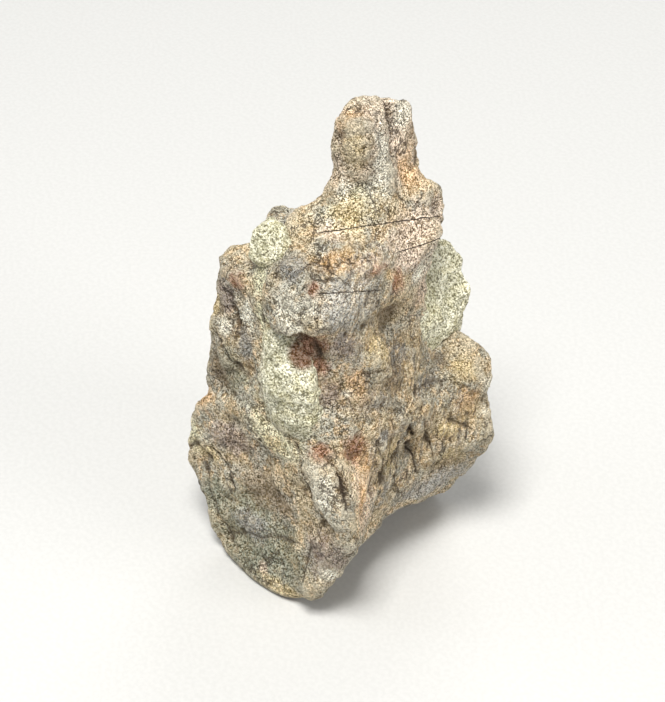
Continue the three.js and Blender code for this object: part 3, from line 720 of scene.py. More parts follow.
def rolling(points, size, seed):
    """Random heights at the corners of cubes of this size, blended smoothly, from -1 to 1."""
    scaled = points / size
    base = np.floor(scaled)
    t = scaled - base
    t = t * t * (3 - 2 * t)
    total = np.zeros(len(points))
    for corner in itertools.product((0, 1), repeat=3):
        share = np.prod(np.where(np.array(corner) == 1, t, 1 - t), axis=1)
        total += share * hashed(base + corner, seed)
    return 2 * total - 1


def cloudy(points, size, octaves, seed):
    """Rolling heights at halving sizes and halving amounts, added up."""
    parts = [rolling(points, size / 2**k, seed + 17 * k) / 2**k for k in range(octaves)]
    return sum(parts) / sum(0.5**k for k in range(octaves))


def nearest_dot(points, size, seed):
    """Distance to the nearest of dots scattered one to a cube of this size, in cube sides."""
    scaled = points / size
    base = np.floor(scaled)
    best = np.full(len(points), 9.0)
    for step in itertools.product((-1, 0, 1), repeat=3):
        cell = base + step
        dot = cell + np.stack([hashed(cell, seed + k) for k in range(3)], -1)
        best = np.minimum(best, ((dot - scaled) ** 2).sum(1))
    return np.sqrt(best)


def near(points, centre, radii):
    """One at the centre, falling off to nothing past the radii, as a rounded bump."""
    away = (points - np.array(centre, float)) / np.array(radii, float)
    return np.exp(-((away**2).sum(1)))


def covered(points, patches):
    """The strongest of several bumps at each point."""
    strength = np.zeros(len(points))
    for _, centre, radii, *full in patches:
        strength = np.maximum(strength, near(points, centre, radii) * (full[0] if full else 1))
    return strength


def line_distance(points, normals, corners):
    """Distance along the surface to a line that runs close to it, below zero on one side."""
    best = np.full(len(points), 1e9)
    for start, end in itertools.pairwise(np.array(corners, float)):
        way = end - start
        share = np.clip((points - start) @ way / (way @ way), 0, 1)
        gap = points - start - share[:, None] * way
        depth = (gap * normals).sum(1)
        flat = np.linalg.norm(gap - depth[:, None] * normals, axis=1)
        side = np.where((np.cross(way, normals) * gap).sum(1) < 0, -1, 1)
        away = side * (flat + 3 * np.maximum(np.abs(depth) - 3, 0))
        best = np.where(np.abs(away) < np.abs(best), away, best)
    return best


# Meshes


def mesh_of(name, points, faces):
    """A mesh object from points in millimetres and faces."""
    mesh = bpy.data.meshes.new(name)
    mesh.from_pydata(points.tolist(), [], faces)
    mesh.update()
    piece = bpy.data.objects.new(name, mesh)
    bpy.context.scene.collection.objects.link(piece)
    return piece


def merged_shell(name, surfaces, cube):
    """Joins closed surfaces into one shell by filling them with small cubes and skinning those."""
    points, faces, first = [], [], 0
    for part_points, part_faces in surfaces:
        points.append(part_points)
        faces += [tuple(first + corner for corner in face) for face in part_faces]
        first += len(part_points)
    piece = mesh_of(name, np.concatenate(points), faces)
    skin = piece.modifiers.new("skin", "REMESH")
    skin.mode = "VOXEL"
    skin.voxel_size = cube
    skin.adaptivity = 0
    depsgraph = bpy.context.evaluated_depsgraph_get()
    shell = bpy.data.meshes.new_from_object(piece.evaluated_get(depsgraph))
    piece.modifiers.clear()
    raw = piece.data
    piece.data = shell
    bpy.data.meshes.remove(raw)
    shell.name = name
    return piece


def read(items, name, width, kind=float):
    """One of a mesh's own lists as an array with this many columns."""
    flat = np.empty(len(items) * width, kind)
    items.foreach_get(name, flat)
    return flat.reshape(-1, width)


def points_of(piece):
    """The piece's points as an array."""
    return read(piece.data.vertices, "co", 3)


def put_points(piece, points):
    """Writes the points back into the piece."""
    piece.data.vertices.foreach_set("co", points.ravel())
    piece.data.update()


def normals_of(piece, points):
    """Outward directions at the points."""
    put_points(piece, points)
    return read(piece.data.vertices, "normal", 3)


def edges_of(piece):
    """The two ends of every edge."""
    return read(piece.data.edges, "vertices", 2, np.int64)


def neighbour_mean(points, edges):
    """The mean place of each point's neighbours."""
    a, b = edges[:, 0], edges[:, 1]
    count = np.bincount(edges.ravel(), minlength=len(points))
    total = [
        np.bincount(a, points[b, k], len(points)) + np.bincount(b, points[a, k], len(points))
        for k in range(points.shape[1])
    ]
    return np.stack(total, -1) / np.maximum(count, 1)[:, None]


def relaxed(points, edges, rounds, share=0.6):
    """Draws each point towards its neighbours' mean, again and again, to wear corners soft."""
    for _ in range(rounds):
        points = points + share * (neighbour_mean(points, edges) - points)
    return points


def cavity_of(points, normals, edges, rounds):
    """How far each point lies below the worn surface around it: above zero in a hollow."""
    worn_points = relaxed(points, edges, rounds)
    return ((worn_points - points) * normals).sum(1)


def held_in_box(points):
    """Keeps the points inside the frame's own box and on or above the floor."""
    low, high = (np.array(corner) / MM for corner in CAD_BOX)
    return np.clip(points, low + 0.02, high - 0.02)


def set_attributes(piece, marks):
    """Numbers for each point, which a material can read by name."""
    for name, values in marks.items():
        attribute = piece.data.attributes.new(name, "FLOAT", "POINT")
        attribute.data.foreach_set("value", np.asarray(values, np.float32))


def finished(piece, material, nodes):
    """Scales a piece to metres, gives it its material, and has it stand for its solids."""
    put_points(piece, points_of(piece) * MM)
    piece.data.polygons.foreach_set("use_smooth", np.ones(len(piece.data.polygons), bool))
    piece.data.materials.clear()
    piece.data.materials.append(material)
    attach(piece, BODY)
    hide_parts(*nodes)


# Node helpers


def add_node(tree, kind, inputs=None, **settings):
    """A node with its settings made and its inputs set or linked."""
    node = tree.nodes.new(kind)
    for name, value in settings.items():
        setattr(node, name, value)
    for name, value in (inputs or {}).items():
        if isinstance(value, bpy.types.NodeSocket):
            tree.links.new(value, node.inputs[name])
        else:
            node.inputs[name].default_value = value
    return node


def calc(tree, operation, a, b=0.0, c=0.0):
    """The result of one sum on up to three numbers."""
    return add_node(tree, "ShaderNodeMath", {0: a, 1: b, 2: c}, operation=operation).outputs[0]


def times(tree, a, b):
    """Two numbers multiplied."""
    return calc(tree, "MULTIPLY", a, b)


def weighted(tree, *terms):
    """The sum of several values, each times its weight."""
    total = 0.0
    for value, weight in terms:
        total = calc(tree, "MULTIPLY_ADD", value, weight, total)
    return total


def blend(tree, share, a, b):
    """Colour a turned into colour b by the share."""
    return add_node(tree, "ShaderNodeMix", {"Factor": share, 6: a, 7: b}, data_type="RGBA").outputs[2]


def painted(tree, colour, paint, share, most=1.0):
    """The colour under a named paint, which covers it by a share of its full strength."""
    return blend(tree, times(tree, share, most), colour, (*PAINTS[paint], 1))


def dyed(tree, colour, value, saturation=1.0):
    """The colour with its brightness and its strength multiplied."""
    inputs = {"Color": colour, "Value": value, "Saturation": saturation}
    return add_node(tree, "ShaderNodeHueSaturation", inputs).outputs["Color"]


def ramp(tree, value, low, high, out_low=0.0, out_high=1.0):
    """Carries a value from one range to another along an S-curve, held at the ends."""
    inputs = {"Value": value, 1: low, 2: high, 3: out_low, 4: out_high}
    node = add_node(tree, "ShaderNodeMapRange", inputs, interpolation_type="SMOOTHSTEP")
    return node.outputs[0]


def noise(tree, place, scale, detail=2.0, roughness=0.5):
    """Cloudy noise, from 0 to 1."""
    inputs = {"Vector": place, "Scale": scale, "Detail": detail, "Roughness": roughness}
    return add_node(tree, "ShaderNodeTexNoise", inputs).outputs["Fac"]


def cells_of(tree, place, scale, feature="F1"):
    """Random cells: the distance to the nearest middle or edge, and a colour for each cell."""
    inputs = {"Vector": place, "Scale": scale}
    return add_node(tree, "ShaderNodeTexVoronoi", inputs, feature=feature).outputs


def attribute(tree, name):
    """A number stored on the piece's points."""
    node = add_node(tree, "ShaderNodeAttribute", attribute_type="GEOMETRY", attribute_name=name)
    return node.outputs["Fac"]


def place_in_mm(tree):
    """The place on the piece in millimetres."""
    coords = add_node(tree, "ShaderNodeTexCoord").outputs["Object"]
    scaled = add_node(tree, "ShaderNodeVectorMath", {0: coords, "Scale": 1 / MM}, operation="SCALE")
    return scaled.outputs[0]


def new_group(name, inputs, outputs):
    """An empty shader group: inputs with their start values, None for a place, and outputs."""
    group = bpy.data.node_groups.new(name, "ShaderNodeTree")
    for socket_name, start in inputs.items():
        kind = "NodeSocketVector" if start is None else "NodeSocketFloat"
        socket = group.interface.new_socket(socket_name, in_out="INPUT", socket_type=kind)
        if start is not None:
            socket.default_value = start
    for socket_name in outputs:
        group.interface.new_socket(socket_name, in_out="OUTPUT", socket_type="NodeSocketFloat")
    source = group.nodes.new("NodeGroupInput").outputs
    sink = group.nodes.new("NodeGroupOutput").inputs
    return group, source, sink


def placed_group(tree, name, make, inputs):
    """A shader group with its own values: built at its first use and shared after that."""
    group = bpy.data.node_groups.get(name) or make(name)
    return add_node(tree, "ShaderNodeGroup", inputs, node_tree=group).outputs


def stone_grain_group(name):
    """Grainy broken stone: lumps, grains and pits, as a height and as light and dark specks."""
    group, given, made = new_group(
        name,
        {"Place": None, "Grain size": 0.5, "Pitting": 1.0},
        ("Height", "Pale specks", "Dark specks", "Warm specks"),
    )
    place, tight = given["Place"], calc(group, "DIVIDE", 1.0, given["Grain size"])
    cells = cells_of(group, place, tight)
    tones = add_node(group, "ShaderNodeSeparateColor", {"Color": cells["Color"]}).outputs
    clumps = noise(group, place, times(group, tight, 0.35), 2.0, 0.6)
    dust = noise(group, place, times(group, tight, 1.25), 1.0, 0.6)
    dots = cells_of(group, place, times(group, tight, 0.42))["Distance"]
    pits = times(group, ramp(group, dots, 0.08, 0.3, 1.0, 0.0), given["Pitting"])
    pits = times(group, pits, ramp(group, clumps, 0.42, 0.58, 1.0, 0.1))
    stone = (dust, 1.0), (clumps, 1.0), (cells["Distance"], -1.0), (tones[0], 0.5)
    group.links.new(weighted(group, *stone, (pits, -0.9)), made["Height"])
    mixed = weighted(group, (tones[0], 0.2), (clumps, 0.2), (dust, 0.6))
    group.links.new(ramp(group, mixed, 0.49, 0.58), made["Pale specks"])
    dark = calc(group, "MAXIMUM", ramp(group, mixed, 0.475, 0.4), pits)
    group.links.new(dark, made["Dark specks"])
    group.links.new(ramp(group, tones[1], 0.6, 0.9), made["Warm specks"])
    return group


def ragged_stain_group(name):
    """A stain's soft strength turned into a patch with a ragged, broken-up edge."""
    inputs = {"Strength": 0.0, "Place": None, "Patch size": 2.0, "Raggedness": 0.9}
    group, given, made = new_group(name, inputs, ["Share"])
    scale = calc(group, "DIVIDE", 1.0, given["Patch size"])
    broken = noise(group, given["Place"], scale, 5.0, 0.75)
    swing = times(group, calc(group, "SUBTRACT", broken, 0.5), given["Raggedness"])
    strength = weighted(group, (given["Strength"], 1.0), (swing, 2.6))
    group.links.new(ramp(group, strength, 0.15, 0.85), made["Share"])
    return group


def edge_and_hollow_shade_group(name):
    """Masks for painted shade in the hollows and for the paler standing edges, by how far a place lies
    below the worn surface.
    """
    group, given, made = new_group(name, {"Depth": 0.0, "Full depth": 0.4}, ["Hollow", "Edge"])
    share = calc(group, "DIVIDE", given["Depth"], given["Full depth"])
    group.links.new(ramp(group, share, 0.15, 1.0), made["Hollow"])
    group.links.new(ramp(group, share, -0.15, -1.0), made["Edge"])
    return group


def grain_edges_and_hollow_shade(tree, place, grain_size):
    """The stone's grains, and its hollows, which get painted shade, and its edges."""
    inputs = {"Place": place, "Grain size": grain_size, "Pitting": 0.9}
    grain = placed_group(tree, "stone grain", stone_grain_group, inputs)
    inputs = {"Depth": attribute(tree, "depth"), "Full depth": 0.8}
    return grain, placed_group(tree, "worn edge", edge_and_hollow_shade_group, inputs)


def patch_share(tree, place, name, size, raggedness):
    """How far a ragged patch, stored on the points by name, covers the stone."""
    inputs = {"Strength": attribute(tree, name), "Place": place}
    inputs |= {"Patch size": size, "Raggedness": raggedness}
    return placed_group(tree, "ragged stain", ragged_stain_group, inputs)["Share"]


def stained(tree, place, colour):
    """The bone's colour under all its stains."""
    for name, stain in STAIN_COLOURS.items():
        share = patch_share(tree, place, name, 2.2 if name in SMALL_PATCHED else 3.0, 0.6)
        colour = blend(tree, times(tree, share, 0.85), colour, (*stain, 1))
    return colour


def fibred(tree, place, colour):
    """Leaning fibres in bands, with dark gaps and pale ridges; also the height of the ridges."""
    turn = {"Vector": place, "Rotation": (math.radians(-20), 0, 0), "Scale": (1, 1, 7)}
    drawn = add_node(tree, "ShaderNodeMapping", turn, vector_type="TEXTURE").outputs["Vector"]
    streaks, bands = noise(tree, drawn, 1.25, 3.0, 0.6), noise(tree, drawn, 0.5, 3.0, 0.65)
    fibre = attribute(tree, "fibre")
    for paint, waves, low, high, most in (
        ("warm fibre", bands, 0.52, 0.62, 0.55),
        ("cool fibre", bands, 0.47, 0.38, 0.55),
        ("dark fibre", streaks, 0.47, 0.36, 0.85),
        ("pale fibre", streaks, 0.55, 0.68, 0.65),
    ):
        share = times(tree, ramp(tree, waves, low, high), fibre)
        colour = painted(tree, colour, paint, share, most)
    return colour, times(tree, streaks, fibre)


def specked(tree, ground, colour, grain, pale, dark):
    """Lays pale and dark specks over the colour: how each is dyed from the ground, and its share."""
    for specks, (value, saturation, share) in (("Pale specks", pale), ("Dark specks", dark)):
        speck = dyed(tree, ground, value, saturation)
        colour = blend(tree, times(tree, grain[specks], share), colour, speck)
    return colour


def paled_edges_and_hollow_shade(tree, colour, edges_and_hollow_shade, stone, edge):
    """The stone's colour paler on its standing edges, and darkened in its hollows with painted shade.
    """
    colour = painted(tree, colour, "worn " + stone, edges_and_hollow_shade["Edge"], edge)
    return painted(tree, colour, "hollow " + stone, edges_and_hollow_shade["Hollow"], 0.6)


def creviced(tree, colour):
    """Painted shade along the crevices, which the mesh is too coarse to shade: a dark core in a
    broader brown band; also the depth of the core.
    """
    gap = calc(tree, "ABSOLUTE", attribute(tree, "crevice"))
    beside = attribute(tree, "crevice_shade_near")
    shade = times(tree, ramp(tree, gap, 0.2, 0.9, 1.0, 0.0), beside)
    core = times(tree, ramp(tree, gap, 0.05, 0.32, 1.0, 0.0), beside)
    colour = painted(tree, colour, "painted crevice shade", shade, 0.35)
    return painted(tree, colour, "crevice", core, 0.9), core


def crackled(tree, place, colour):
    """A broken net of fine lines between bent shards; also its depth."""
    inputs = {"Vector": place, "Scale": 0.35, "Detail": 3.0}
    bend = add_node(tree, "ShaderNodeTexNoise", inputs).outputs["Color"]
    inputs = {0: bend, 1: (6, 6, 6), 2: place}
    swung = add_node(tree, "ShaderNodeVectorMath", inputs, operation="MULTIPLY_ADD").outputs[0]
    shards = cells_of(tree, swung, 0.13, "DISTANCE_TO_EDGE")["Distance"]
    seen = ramp(tree, noise(tree, place, 0.11, 1.0), 0.48, 0.56)
    lines = times(tree, ramp(tree, shards, 0.008, 0.03, 1.0, 0.0), seen)
    return painted(tree, colour, "crackle", lines, 0.7), lines


def hair_cracked(tree, place, colour, width):
    """The long hair cracks, slightly crooked; also their depth."""
    jitter = calc(tree, "SUBTRACT", noise(tree, place, 0.8, 3.0), 0.5)
    lines = 0.0
    for name in HAIR_CRACKS:
        away = calc(tree, "ABSOLUTE", weighted(tree, (attribute(tree, name), 1.0), (jitter, 0.9)))
        line = ramp(tree, away, width * 0.4, width, 1.0, 0.0)
        lines = calc(tree, "MAXIMUM", lines, times(tree, line, attribute(tree, name + "_seen")))
    return painted(tree, colour, "hair crack", lines, 0.9), lines


def new_material(name):
    """An empty material with its surface shader."""
    material = bpy.data.materials.new(name)
    material.use_nodes = True
    tree = material.node_tree
    tree.nodes.clear()
    shader = tree.nodes.new("ShaderNodeBsdfPrincipled")
    output = tree.nodes.new("ShaderNodeOutputMaterial")
    tree.links.new(shader.outputs["BSDF"], output.inputs["Surface"])
    return material, tree, shader


def surfaced(tree, shader, colour, grain, dullness, shine, height, relief):
    """Gives the shader a stone's colour, its roughness in pits and on grains, and its relief."""
    tree.links.new(colour, shader.inputs["Base Color"])
    tree.links.new(ramp(tree, grain["Height"], 0.6, 1.5, *dullness), shader.inputs["Roughness"])
    shader.inputs["Specular IOR Level"].default_value = shine
    inputs = {"Height": height, "Strength": 1.0, "Distance": relief * MM}
    bump = add_node(tree, "ShaderNodeBump", inputs)
    tree.links.new(bump.outputs["Normal"], shader.inputs["Normal"])


def bone_material(settings):
    """Fossil bone: grainy tan and grey, stained in named patches, with fibres and hair cracks."""
    material, tree, shader = new_material("stained_fossil_bone")
    place = place_in_mm(tree)
    grain, edges_and_hollow_shade = grain_edges_and_hollow_shade(tree, place, settings.grain_size)
    grounds = (*settings.bone_tan, 1), (*settings.bone_grey, 1)
    colour = blend(tree, ramp(tree, noise(tree, place, 0.13, 3.0), 0.4, 0.6), *grounds)
    warm = ramp(tree, noise(tree, place, 0.31, 4.0, 0.65), 0.5, 0.62, 0.0, 0.8)
    colour = stained(tree, place, painted(tree, colour, "warm bone", warm))
    ground, fibres = fibred(tree, place, colour)
    colour = painted(tree, ground, "warm grain", grain["Warm specks"], 0.4)
    uneven = ramp(tree, noise(tree, place, 0.2, 3.0), 0.38, 0.62, 0.75, 1.0)
    share = times(tree, uneven, calc(tree, "MULTIPLY_ADD", attribute(tree, "fibre"), -0.4, 1.0))
    colour = specked(tree, ground, colour, grain, (2.4, 0.7, share), (0.16, 1.4, share))
    # Paler standing edges and painted shade in the hollows, then painted shade along the crevices
    colour, crevices = creviced(tree, paled_edges_and_hollow_shade(tree, colour, edges_and_hollow_shade, "bone", 0.4))
    colour, crackle = crackled(tree, place, colour)
    colour, cracks = hair_cracked(tree, place, colour, settings.crack_width)
    colour = dyed(tree, colour, calc(tree, "ADD", attribute(tree, "tone"), 1.0))
    smoother = calc(tree, "MULTIPLY_ADD", attribute(tree, "calm"), -0.55, 1.0)
    lines = calc(tree, "MAXIMUM", crackle, crevices)
    parts = (grain["Height"], smoother), (fibres, 1.6), (cracks, -1.2), (lines, -1.0)
    height = weighted(tree, *parts)
    surfaced(tree, shader, colour, grain, (0.95, 0.72), 0.28, height, settings.relief)
    return material


def sandstone_material(settings):
    """Sandstone: pale yellow-green sand grains with olive mottling and black pits."""
    material, tree, shader = new_material(ROCK_MATERIAL)
    place = place_in_mm(tree)
    grain, edges_and_hollow_shade = grain_edges_and_hollow_shade(tree, place, settings.grain_size * 1.3)
    mottle = patch_share(tree, place, "mottle", 2.5, 0.9)
    colour = painted(tree, (*settings.sandstone, 1), "olive sand", mottle, 0.7)
    yellow = ramp(tree, noise(tree, place, 0.25, 3.0), 0.5, 0.65, 0.0, 0.6)
    colour = painted(tree, colour, "yellow sand", yellow)
    colour = painted(tree, colour, "bone dust", attribute(tree, "bone_dust"), 0.8)
    rust = ramp(tree, attribute(tree, "rust"), 0.25, 0.6)
    colour = painted(tree, colour, "rusty sand", rust, 0.9)
    colour = specked(tree, colour, colour, grain, (1.7, 0.6, 0.9), (0.22, 1.3, 0.8))
    # Paler standing edges and painted shade in the hollows
    colour = paled_edges_and_hollow_shade(tree, colour, edges_and_hollow_shade, "sand", 0.3)
    relief = settings.relief * 1.1
    surfaced(tree, shader, colour, grain, (0.98, 0.8), 0.2, grain["Height"], relief)
    return material


def floor_material():
    """Plain pale paper with the faintest fibre."""
    material, tree, shader = new_material("pale_paper")
    coords = add_node(tree, "ShaderNodeTexCoord").outputs["Object"]
    fibre = ramp(tree, noise(tree, coords, 900.0, 2.0), 0.3, 0.7)
    colour = painted(tree, (*PAINTS["paper"], 1), "pale paper", fibre)
    tree.links.new(colour, shader.inputs["Base Color"])
    shader.inputs["Roughness"].default_value = 0.9
    shader.inputs["Specular IOR Level"].default_value = 0.15
    return material


# Pieces


def bone_relief(points, fibre, calm):
    """Outward shift of the bone: broad swells, creased lumps, grains, pits and upright fibres."""
    rough = 1 - 0.6 * calm
    swells = 0.5 * cloudy(points, 12.0, 2, 1)
    creases = 0.7 * (np.abs(cloudy(points, 7.0, 2, 7)) - 0.25)
    ledges = 0.42 * terraced(3.2 * cloudy(points, 8.0, 3, 9)) * (1 - 0.5 * calm)
    lumps = 0.3 * cloudy(points, 3.6, 2, 2)
    ridges = 0.3 * (0.3 - np.abs(cloudy(points, 2.6, 2, 3)))
    grains = 0.2 * cloudy(points, 1.4, 1, 4) + 0.16 * cloudy(points, 0.8, 1, 8)
    pits = -0.7 * np.clip(1 - nearest_dot(points, 3.0, 5) / 0.24, 0, 1)
    leaning = points - np.outer(points[:, 2], (0, 0.25, 0))
    drawn = 0.65 * cloudy(leaning / (1, 1, 7), 1.4, 2, 6) * fibre
    broad = swells + creases + ledges + rough * (lumps + ridges + pits)
    return broad + (1 - 0.4 * calm) * grains + drawn - 0.1


def terraced(height):
    """Turns a smooth height into steps with a short steep rise between them."""
    whole = np.floor(height)
    return whole + smooth(0.7, 1.0, height - whole)


def flattened(points):
    """Breaks the bone flat: near each named place, what stands past the flat is drawn back to it."""
    for _, place, facing, reach in FLATS:
        facing = np.array(facing, float) / np.linalg.norm(facing)
        beyond = np.maximum((points - place) @ facing, 0)
        away = np.linalg.norm((points - place) / np.array(reach, float), axis=1)
        points = points - (beyond * smooth(1.35, 0.8, away))[:, None] * facing
    return points


def pressed(points, normals):
    """Presses in the named lumps and crevices; also gives each point's nearest crevice and how dark
    its painted shade grows.
    """
    push = np.zeros(len(points))
    for _, centre, radii, amount in LUMPS:
        push += amount * near(points, centre, radii)
    wobble = np.stack([cloudy(points, 3.0, 3, seed) for seed in (31, 32, 33)], -1)
    nearest, strength = np.full(len(points), 9.0), np.zeros(len(points))
    for _, corners, half_width, depth in CREVICES:
        away = line_distance(points + wobble, normals, corners)
        push -= depth * np.exp(-((away / half_width) ** 2))
        closer = (np.abs(away) < np.abs(nearest)) & (depth > 0)
        nearest = np.where(closer, away, nearest)
        strength = np.where(closer, np.clip(depth / DARKEST_DEPTH, FAINTEST, 1), strength)
    return points + normals * push[:, None], nearest, strength


def bone_shell(cube):
    """The bone's plain shape: its rounded surfaces joined, and their meeting lines worn soft."""
    surfaces = [
        closed_surface(centrum_place, *CENTRUM_GRID),
        closed_surface(arch_place, *ARCH_GRID),
    ]
    surfaces += [closed_surface(stump_place(*size), *STUMP_GRID) for size in STUMPS.values()]
    piece = merged_shell("vertebra_bone", surfaces, cube)
    edges = edges_of(piece)
    points = relaxed(points_of(piece), edges, SKIN_ROUNDS)
    soft = relaxed(points, edges, SOFT_ROUNDS)
    points += (soft - points) * np.clip(covered(points, SOFTENED), 0, 1)[:, None]
    return piece, edges, relaxed(flattened(points), edges, BREAK_ROUNDS)


def bone_marks(points):
    """What the bone's material reads at each point: its tone, its stains and its hair cracks."""
    tone = sum(amount * near(points, centre, radii) for _, centre, radii, amount in TONES)
    marks = {"tone": tone} | {name: covered(points, STAINS[name]) for name in STAIN_COLOURS}
    x, y, z = points.T
    for name, (height, rise_x, rise_y, front, rear) in HAIR_CRACKS.items():
        away = z - height - points[:, :2] @ (rise_x, rise_y)
        seen = smooth(front - 1.5, front, y) * smooth(rear + 1.5, rear, y)
        marks[name] = away
        marks[name + "_seen"] = seen * smooth(-2, 2, x) * smooth(3, 2, np.abs(away))
    return marks


def build_bone(settings):
    """The whole bone as one skin, with its stains and cracks stored on its points."""
    piece, edges, points = bone_shell(settings.cube)
    points, crevice, strength = pressed(points, normals_of(piece, points))
    fibre = np.clip(1.3 * covered(points, FIBROUS), 0, 1)
    calm = covered(points, SMOOTH_BONE)
    normals = normals_of(piece, points)
    relief = bone_relief(points, fibre, calm) * smooth(*FLOOR_FADE, points[:, 2])
    relief += 0.55 * covered(points, CRUMBLY) * cloudy(points, 1.7, 2, 61)
    points = held_in_box(points + normals * (relief * settings.roughness)[:, None])
    normals = normals_of(piece, points)
    # How far each point lies in a hollow: the material darkens it with painted shade
    depth = 0.5 * cavity_of(points, normals, edges, 5) + cavity_of(points, normals, edges, 40)
    # How near each point lies to a crevice: the material darkens it with painted shade
    beside = strength * np.exp(-((crevice / CREVICE_REACH) ** 2))
    marks = {"depth": depth, "crevice": np.clip(crevice, -3, 3), "crevice_shade_near": beside}
    marks |= {"fibre": fibre, "calm": calm} | bone_marks(points)
    put_points(piece, points)
    set_attributes(piece, marks)
    finished(piece, bone_material(settings), BONES)


def split_flat(points, faces_cut):
    """Cuts flat broken faces: points beyond a plane are drawn back onto it."""
    for direction, distance in faces_cut:
        direction = np.array(direction, float) / np.linalg.norm(direction)
        beyond = np.maximum(points @ direction - distance, 0)
        points = points - beyond[:, None] * direction
    return points


def build_rock(settings, name, node, place, grid, cuts=(), dust=(), rust=()):
    """A piece of sandstone: a closed surface skinned with cubes, broken flat and roughened."""
    surfaces = [closed_surface(place, *grid)]
    piece = merged_shell(name, surfaces, settings.cube * ROCK_CUBE_SHARE)
    edges = edges_of(piece)
    points = relaxed(points_of(piece), edges, SKIN_ROUNDS)
    points = split_flat(points, cuts)
    normals = normals_of(piece, points)
    shift = 0.8 * cloudy(points, 5.0, 2, 51) + 0.45 * cloudy(points, 2.2, 2, 52)
    shift += 0.34 * cloudy(points, 1.2, 1, 53) + 0.2 * cloudy(points, 0.8, 1, 56)
    shift -= 0.5 * np.clip(1 - nearest_dot(points, 2.4, 54) / 0.25, 0, 1)
    points = held_in_box(points + normals * (shift * settings.roughness - 0.1)[:, None])
    normals = normals_of(piece, points)
    # How far each point lies in a hollow: the material darkens it with painted shade
    depth = cavity_of(points, normals, edges, 6) + 0.5 * cavity_of(points, normals, edges, 20)
    put_points(piece, points)
    marks = {"depth": depth, "mottle": 0.5 + 0.5 * cloudy(points, 6.0, 2, 55)}
    marks |= {"bone_dust": covered(points, dust), "rust": covered(points, rust)}
    set_attributes(piece, marks)
    material = bpy.data.materials.get(ROCK_MATERIAL) or sandstone_material(settings)
    finished(piece, material, [node])


# What a user can change


class FossilSettings(bpy.types.PropertyGroup):
    """Sizes and colours of the fossil."""

    cube: FloatProperty(
        name="Skin fineness", default=0.6, min=0.4, max=2.0,
        description="Side of the small cubes that the skin is made from, in millimetres",
    )
    roughness: FloatProperty(
        name="Roughness of the stone", default=1.0, min=0.0, max=2.0, subtype="FACTOR",
        description="Share of the full height of lumps, pits and fibres",
    )
    grain_size: FloatProperty(
        name="Grain size", default=0.34, min=0.1, max=3.0,
        description="Size of the stone's grains in millimetres",
    )
    relief: FloatProperty(
        name="Grain relief", default=0.34, min=0.0, max=2.0,
        description="Height of the stone's grains in millimetres",
    )
    crack_width: FloatProperty(
        name="Crack width", default=0.2, min=0.05, max=1.0,
        description="Half width of the hair cracks in millimetres",
    )
    bone_tan: FloatVectorProperty(
        name="Tan bone", default=(0.45, 0.36, 0.215), subtype="COLOR", size=3, min=0, max=1,
        description="Warm ground colour of the bone",
    )
    bone_grey: FloatVectorProperty(
        name="Grey bone", default=(0.33, 0.31, 0.24), subtype="COLOR", size=3, min=0, max=1,
        description="Cool ground colour of the bone",
    )
    sandstone: FloatVectorProperty(
        name="Sandstone", default=(0.74, 0.71, 0.52), subtype="COLOR", size=3, min=0, max=1,
        description="Ground colour of the clinging rock",
    )
    floor_size: FloatProperty(
        name="Floor size", default=6.0, min=1.0, unit="LENGTH", subtype="DISTANCE",
        description="Side of the pale floor",
    )
    view_azimuth: IntProperty(
        name="View azimuth", default=45,
        description="Degrees that the camera stands round from the front towards the left side",
    )
    view_elevation: IntProperty(
        name="View elevation", default=40,
        description="Degrees that the camera stands above level",
    )


class FOSSIL_OT_bone(bpy.types.Operator):
    """Builds the vertebra's bone as one stained and cracked skin"""

    bl_idname = "fossil.bone"
    bl_label = "Bone"

    def execute(self, context):
        build_bone(context.scene.fossil)
        return {"FINISHED"}


class FOSSIL_OT_canal_rock(bpy.types.Operator):
    """Builds the sandstone that fills the neural canal"""

    bl_idname = "fossil.canal_rock"
    bl_label = "Rock in the canal"

    def execute(self, context):
        build_rock(
            context.scene.fossil, "canal_rock", "rock_in_canal", canal_rock_place,
            CANAL_ROCK_GRID, CANAL_ROCK_CUTS, CANAL_ROCK_DUST, CANAL_ROCK_RUST,
        )
        return {"FINISHED"}


class FOSSIL_OT_rear_rock(bpy.types.Operator):
    """Builds the broken slab of sandstone behind the arch"""

    bl_idname = "fossil.rear_rock"
    bl_label = "Rock behind the arch"

    def execute(self, context):
        build_rock(
            context.scene.fossil, "rear_rock", "rock_behind_arch", rear_rock_place,
            REAR_ROCK_GRID, REAR_ROCK_CUTS,
        )
        return {"FINISHED"}


class FOSSIL_OT_front_rock(bpy.types.Operator):
    """Builds the round lump of sandstone on the front of the arch"""

    bl_idname = "fossil.front_rock"
    bl_label = "Rock lump"

    def execute(self, context):
        build_rock(
            context.scene.fossil, "front_rock", "rock_on_front", front_rock_place,
            FRONT_ROCK_GRID, dust=FRONT_ROCK_DUST,
        )
        return {"FINISHED"}


class FOSSIL_OT_stage(bpy.types.Operator):
    """Sets the pale floor, the soft lights and the camera"""

    bl_idname = "fossil.stage"
    bl_label = "Stage"

    def execute(self, context):
        settings = context.scene.fossil
        half = settings.floor_size / 2
        corners = np.array([(-half, -half, 0), (half, -half, 0), (half, half, 0), (-half, half, 0)])
        floor = mesh_of("floor", corners, [(0, 1, 2, 3)])
        floor.data.materials.append(floor_material())
        world = bpy.data.worlds.new("soft_room")
        world.use_nodes = True
        background = world.node_tree.nodes["Background"].inputs
        background["Color"].default_value = SKY_COLOUR
        background["Strength"].default_value = SKY_STRENGTH
        context.scene.world = world
        for light in LIGHTS:
            soft_light(*light)
        photo_camera(context.scene, settings)
        return {"FINISHED"}


def aimed(thing, stand, target):
    """Stands a camera or light at a place and turns it towards a target."""
    away = np.array(stand, float) - np.array(target, float)
    flat = math.hypot(away[0], away[1])
    thing.location = stand
    thing.rotation_euler = (math.atan2(flat, away[2]), 0, math.atan2(away[0], -away[1]))


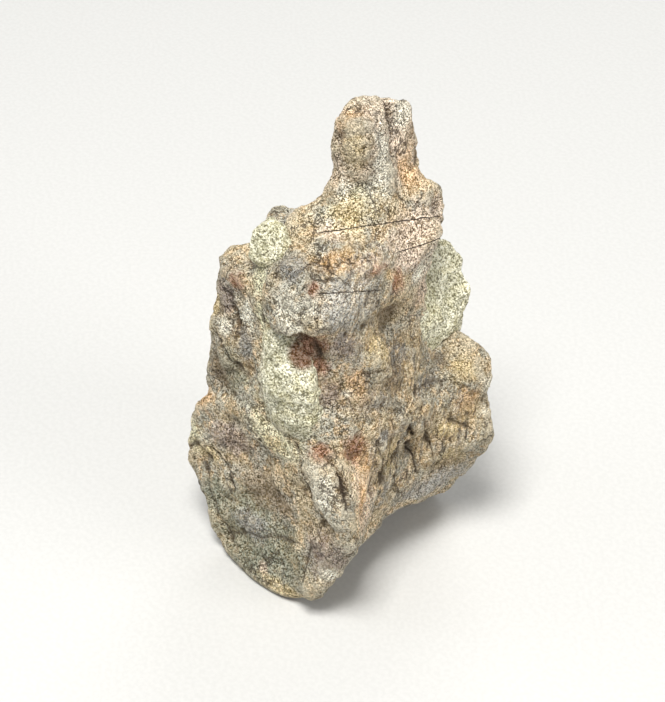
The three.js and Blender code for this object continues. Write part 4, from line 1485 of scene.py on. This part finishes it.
def soft_light(name, stand, side, power, tint):
    """A square soft light that looks at the vertebra."""
    lamp = bpy.data.lights.new(name, "AREA")
    lamp.shape = "SQUARE"
    lamp.size = side
    lamp.energy = power
    lamp.color = tint
    thing = bpy.data.objects.new(name, lamp)
    bpy.context.scene.collection.objects.link(thing)
    aimed(thing, stand, LOOK_AT)


def photo_camera(scene, settings):
    """The camera at the photograph's angle and distance."""
    azimuth, elevation = map(math.radians, (settings.view_azimuth, settings.view_elevation))
    back = np.array(
        [
            math.sin(azimuth) * math.cos(elevation),
            -math.cos(azimuth) * math.cos(elevation),
            math.sin(elevation),
        ]
    )
    view = bpy.data.cameras.new("photo_camera")
    view.lens = CAMERA_LENS
    view.sensor_width = 36.0
    view.clip_start = 0.01
    camera = bpy.data.objects.new("photo_camera", view)
    scene.collection.objects.link(camera)
    aimed(camera, tuple(np.array(LOOK_AT) + CAMERA_DISTANCE * back), LOOK_AT)
    scene.camera = camera
    scene.view_settings.view_transform = "Standard"


class FOSSIL_PT_panel(bpy.types.Panel):
    """Sidebar list of the fossil's pieces"""

    bl_idname = "FOSSIL_PT_panel"
    bl_label = "Fossil vertebra"
    bl_space_type = "VIEW_3D"
    bl_region_type = "UI"
    bl_category = "Fossil"

    def draw(self, context):
        for name in FossilSettings.__annotations__:
            self.layout.prop(context.scene.fossil, name)
        for operator in PIECES + (FOSSIL_OT_stage,):
            self.layout.operator(operator.bl_idname)


PIECES = (FOSSIL_OT_bone, FOSSIL_OT_canal_rock, FOSSIL_OT_rear_rock, FOSSIL_OT_front_rock)
CLASSES = (FossilSettings,) + PIECES + (FOSSIL_OT_stage, FOSSIL_PT_panel)


def register():
    """Adds the classes and the scene's settings."""
    for made in CLASSES:
        bpy.utils.register_class(made)
    bpy.types.Scene.fossil = PointerProperty(type=FossilSettings)


def unregister():
    """Takes the classes and the settings away again."""
    del bpy.types.Scene.fossil
    for made in reversed(CLASSES):
        bpy.utils.unregister_class(made)


def main():
    """Builds every piece and the stage."""
    register()
    bpy.ops.fossil.bone()
    bpy.ops.fossil.canal_rock()
    bpy.ops.fossil.rear_rock()
    bpy.ops.fossil.front_rock()
    bpy.ops.fossil.stage()


if __name__ == "__main__":
    main()
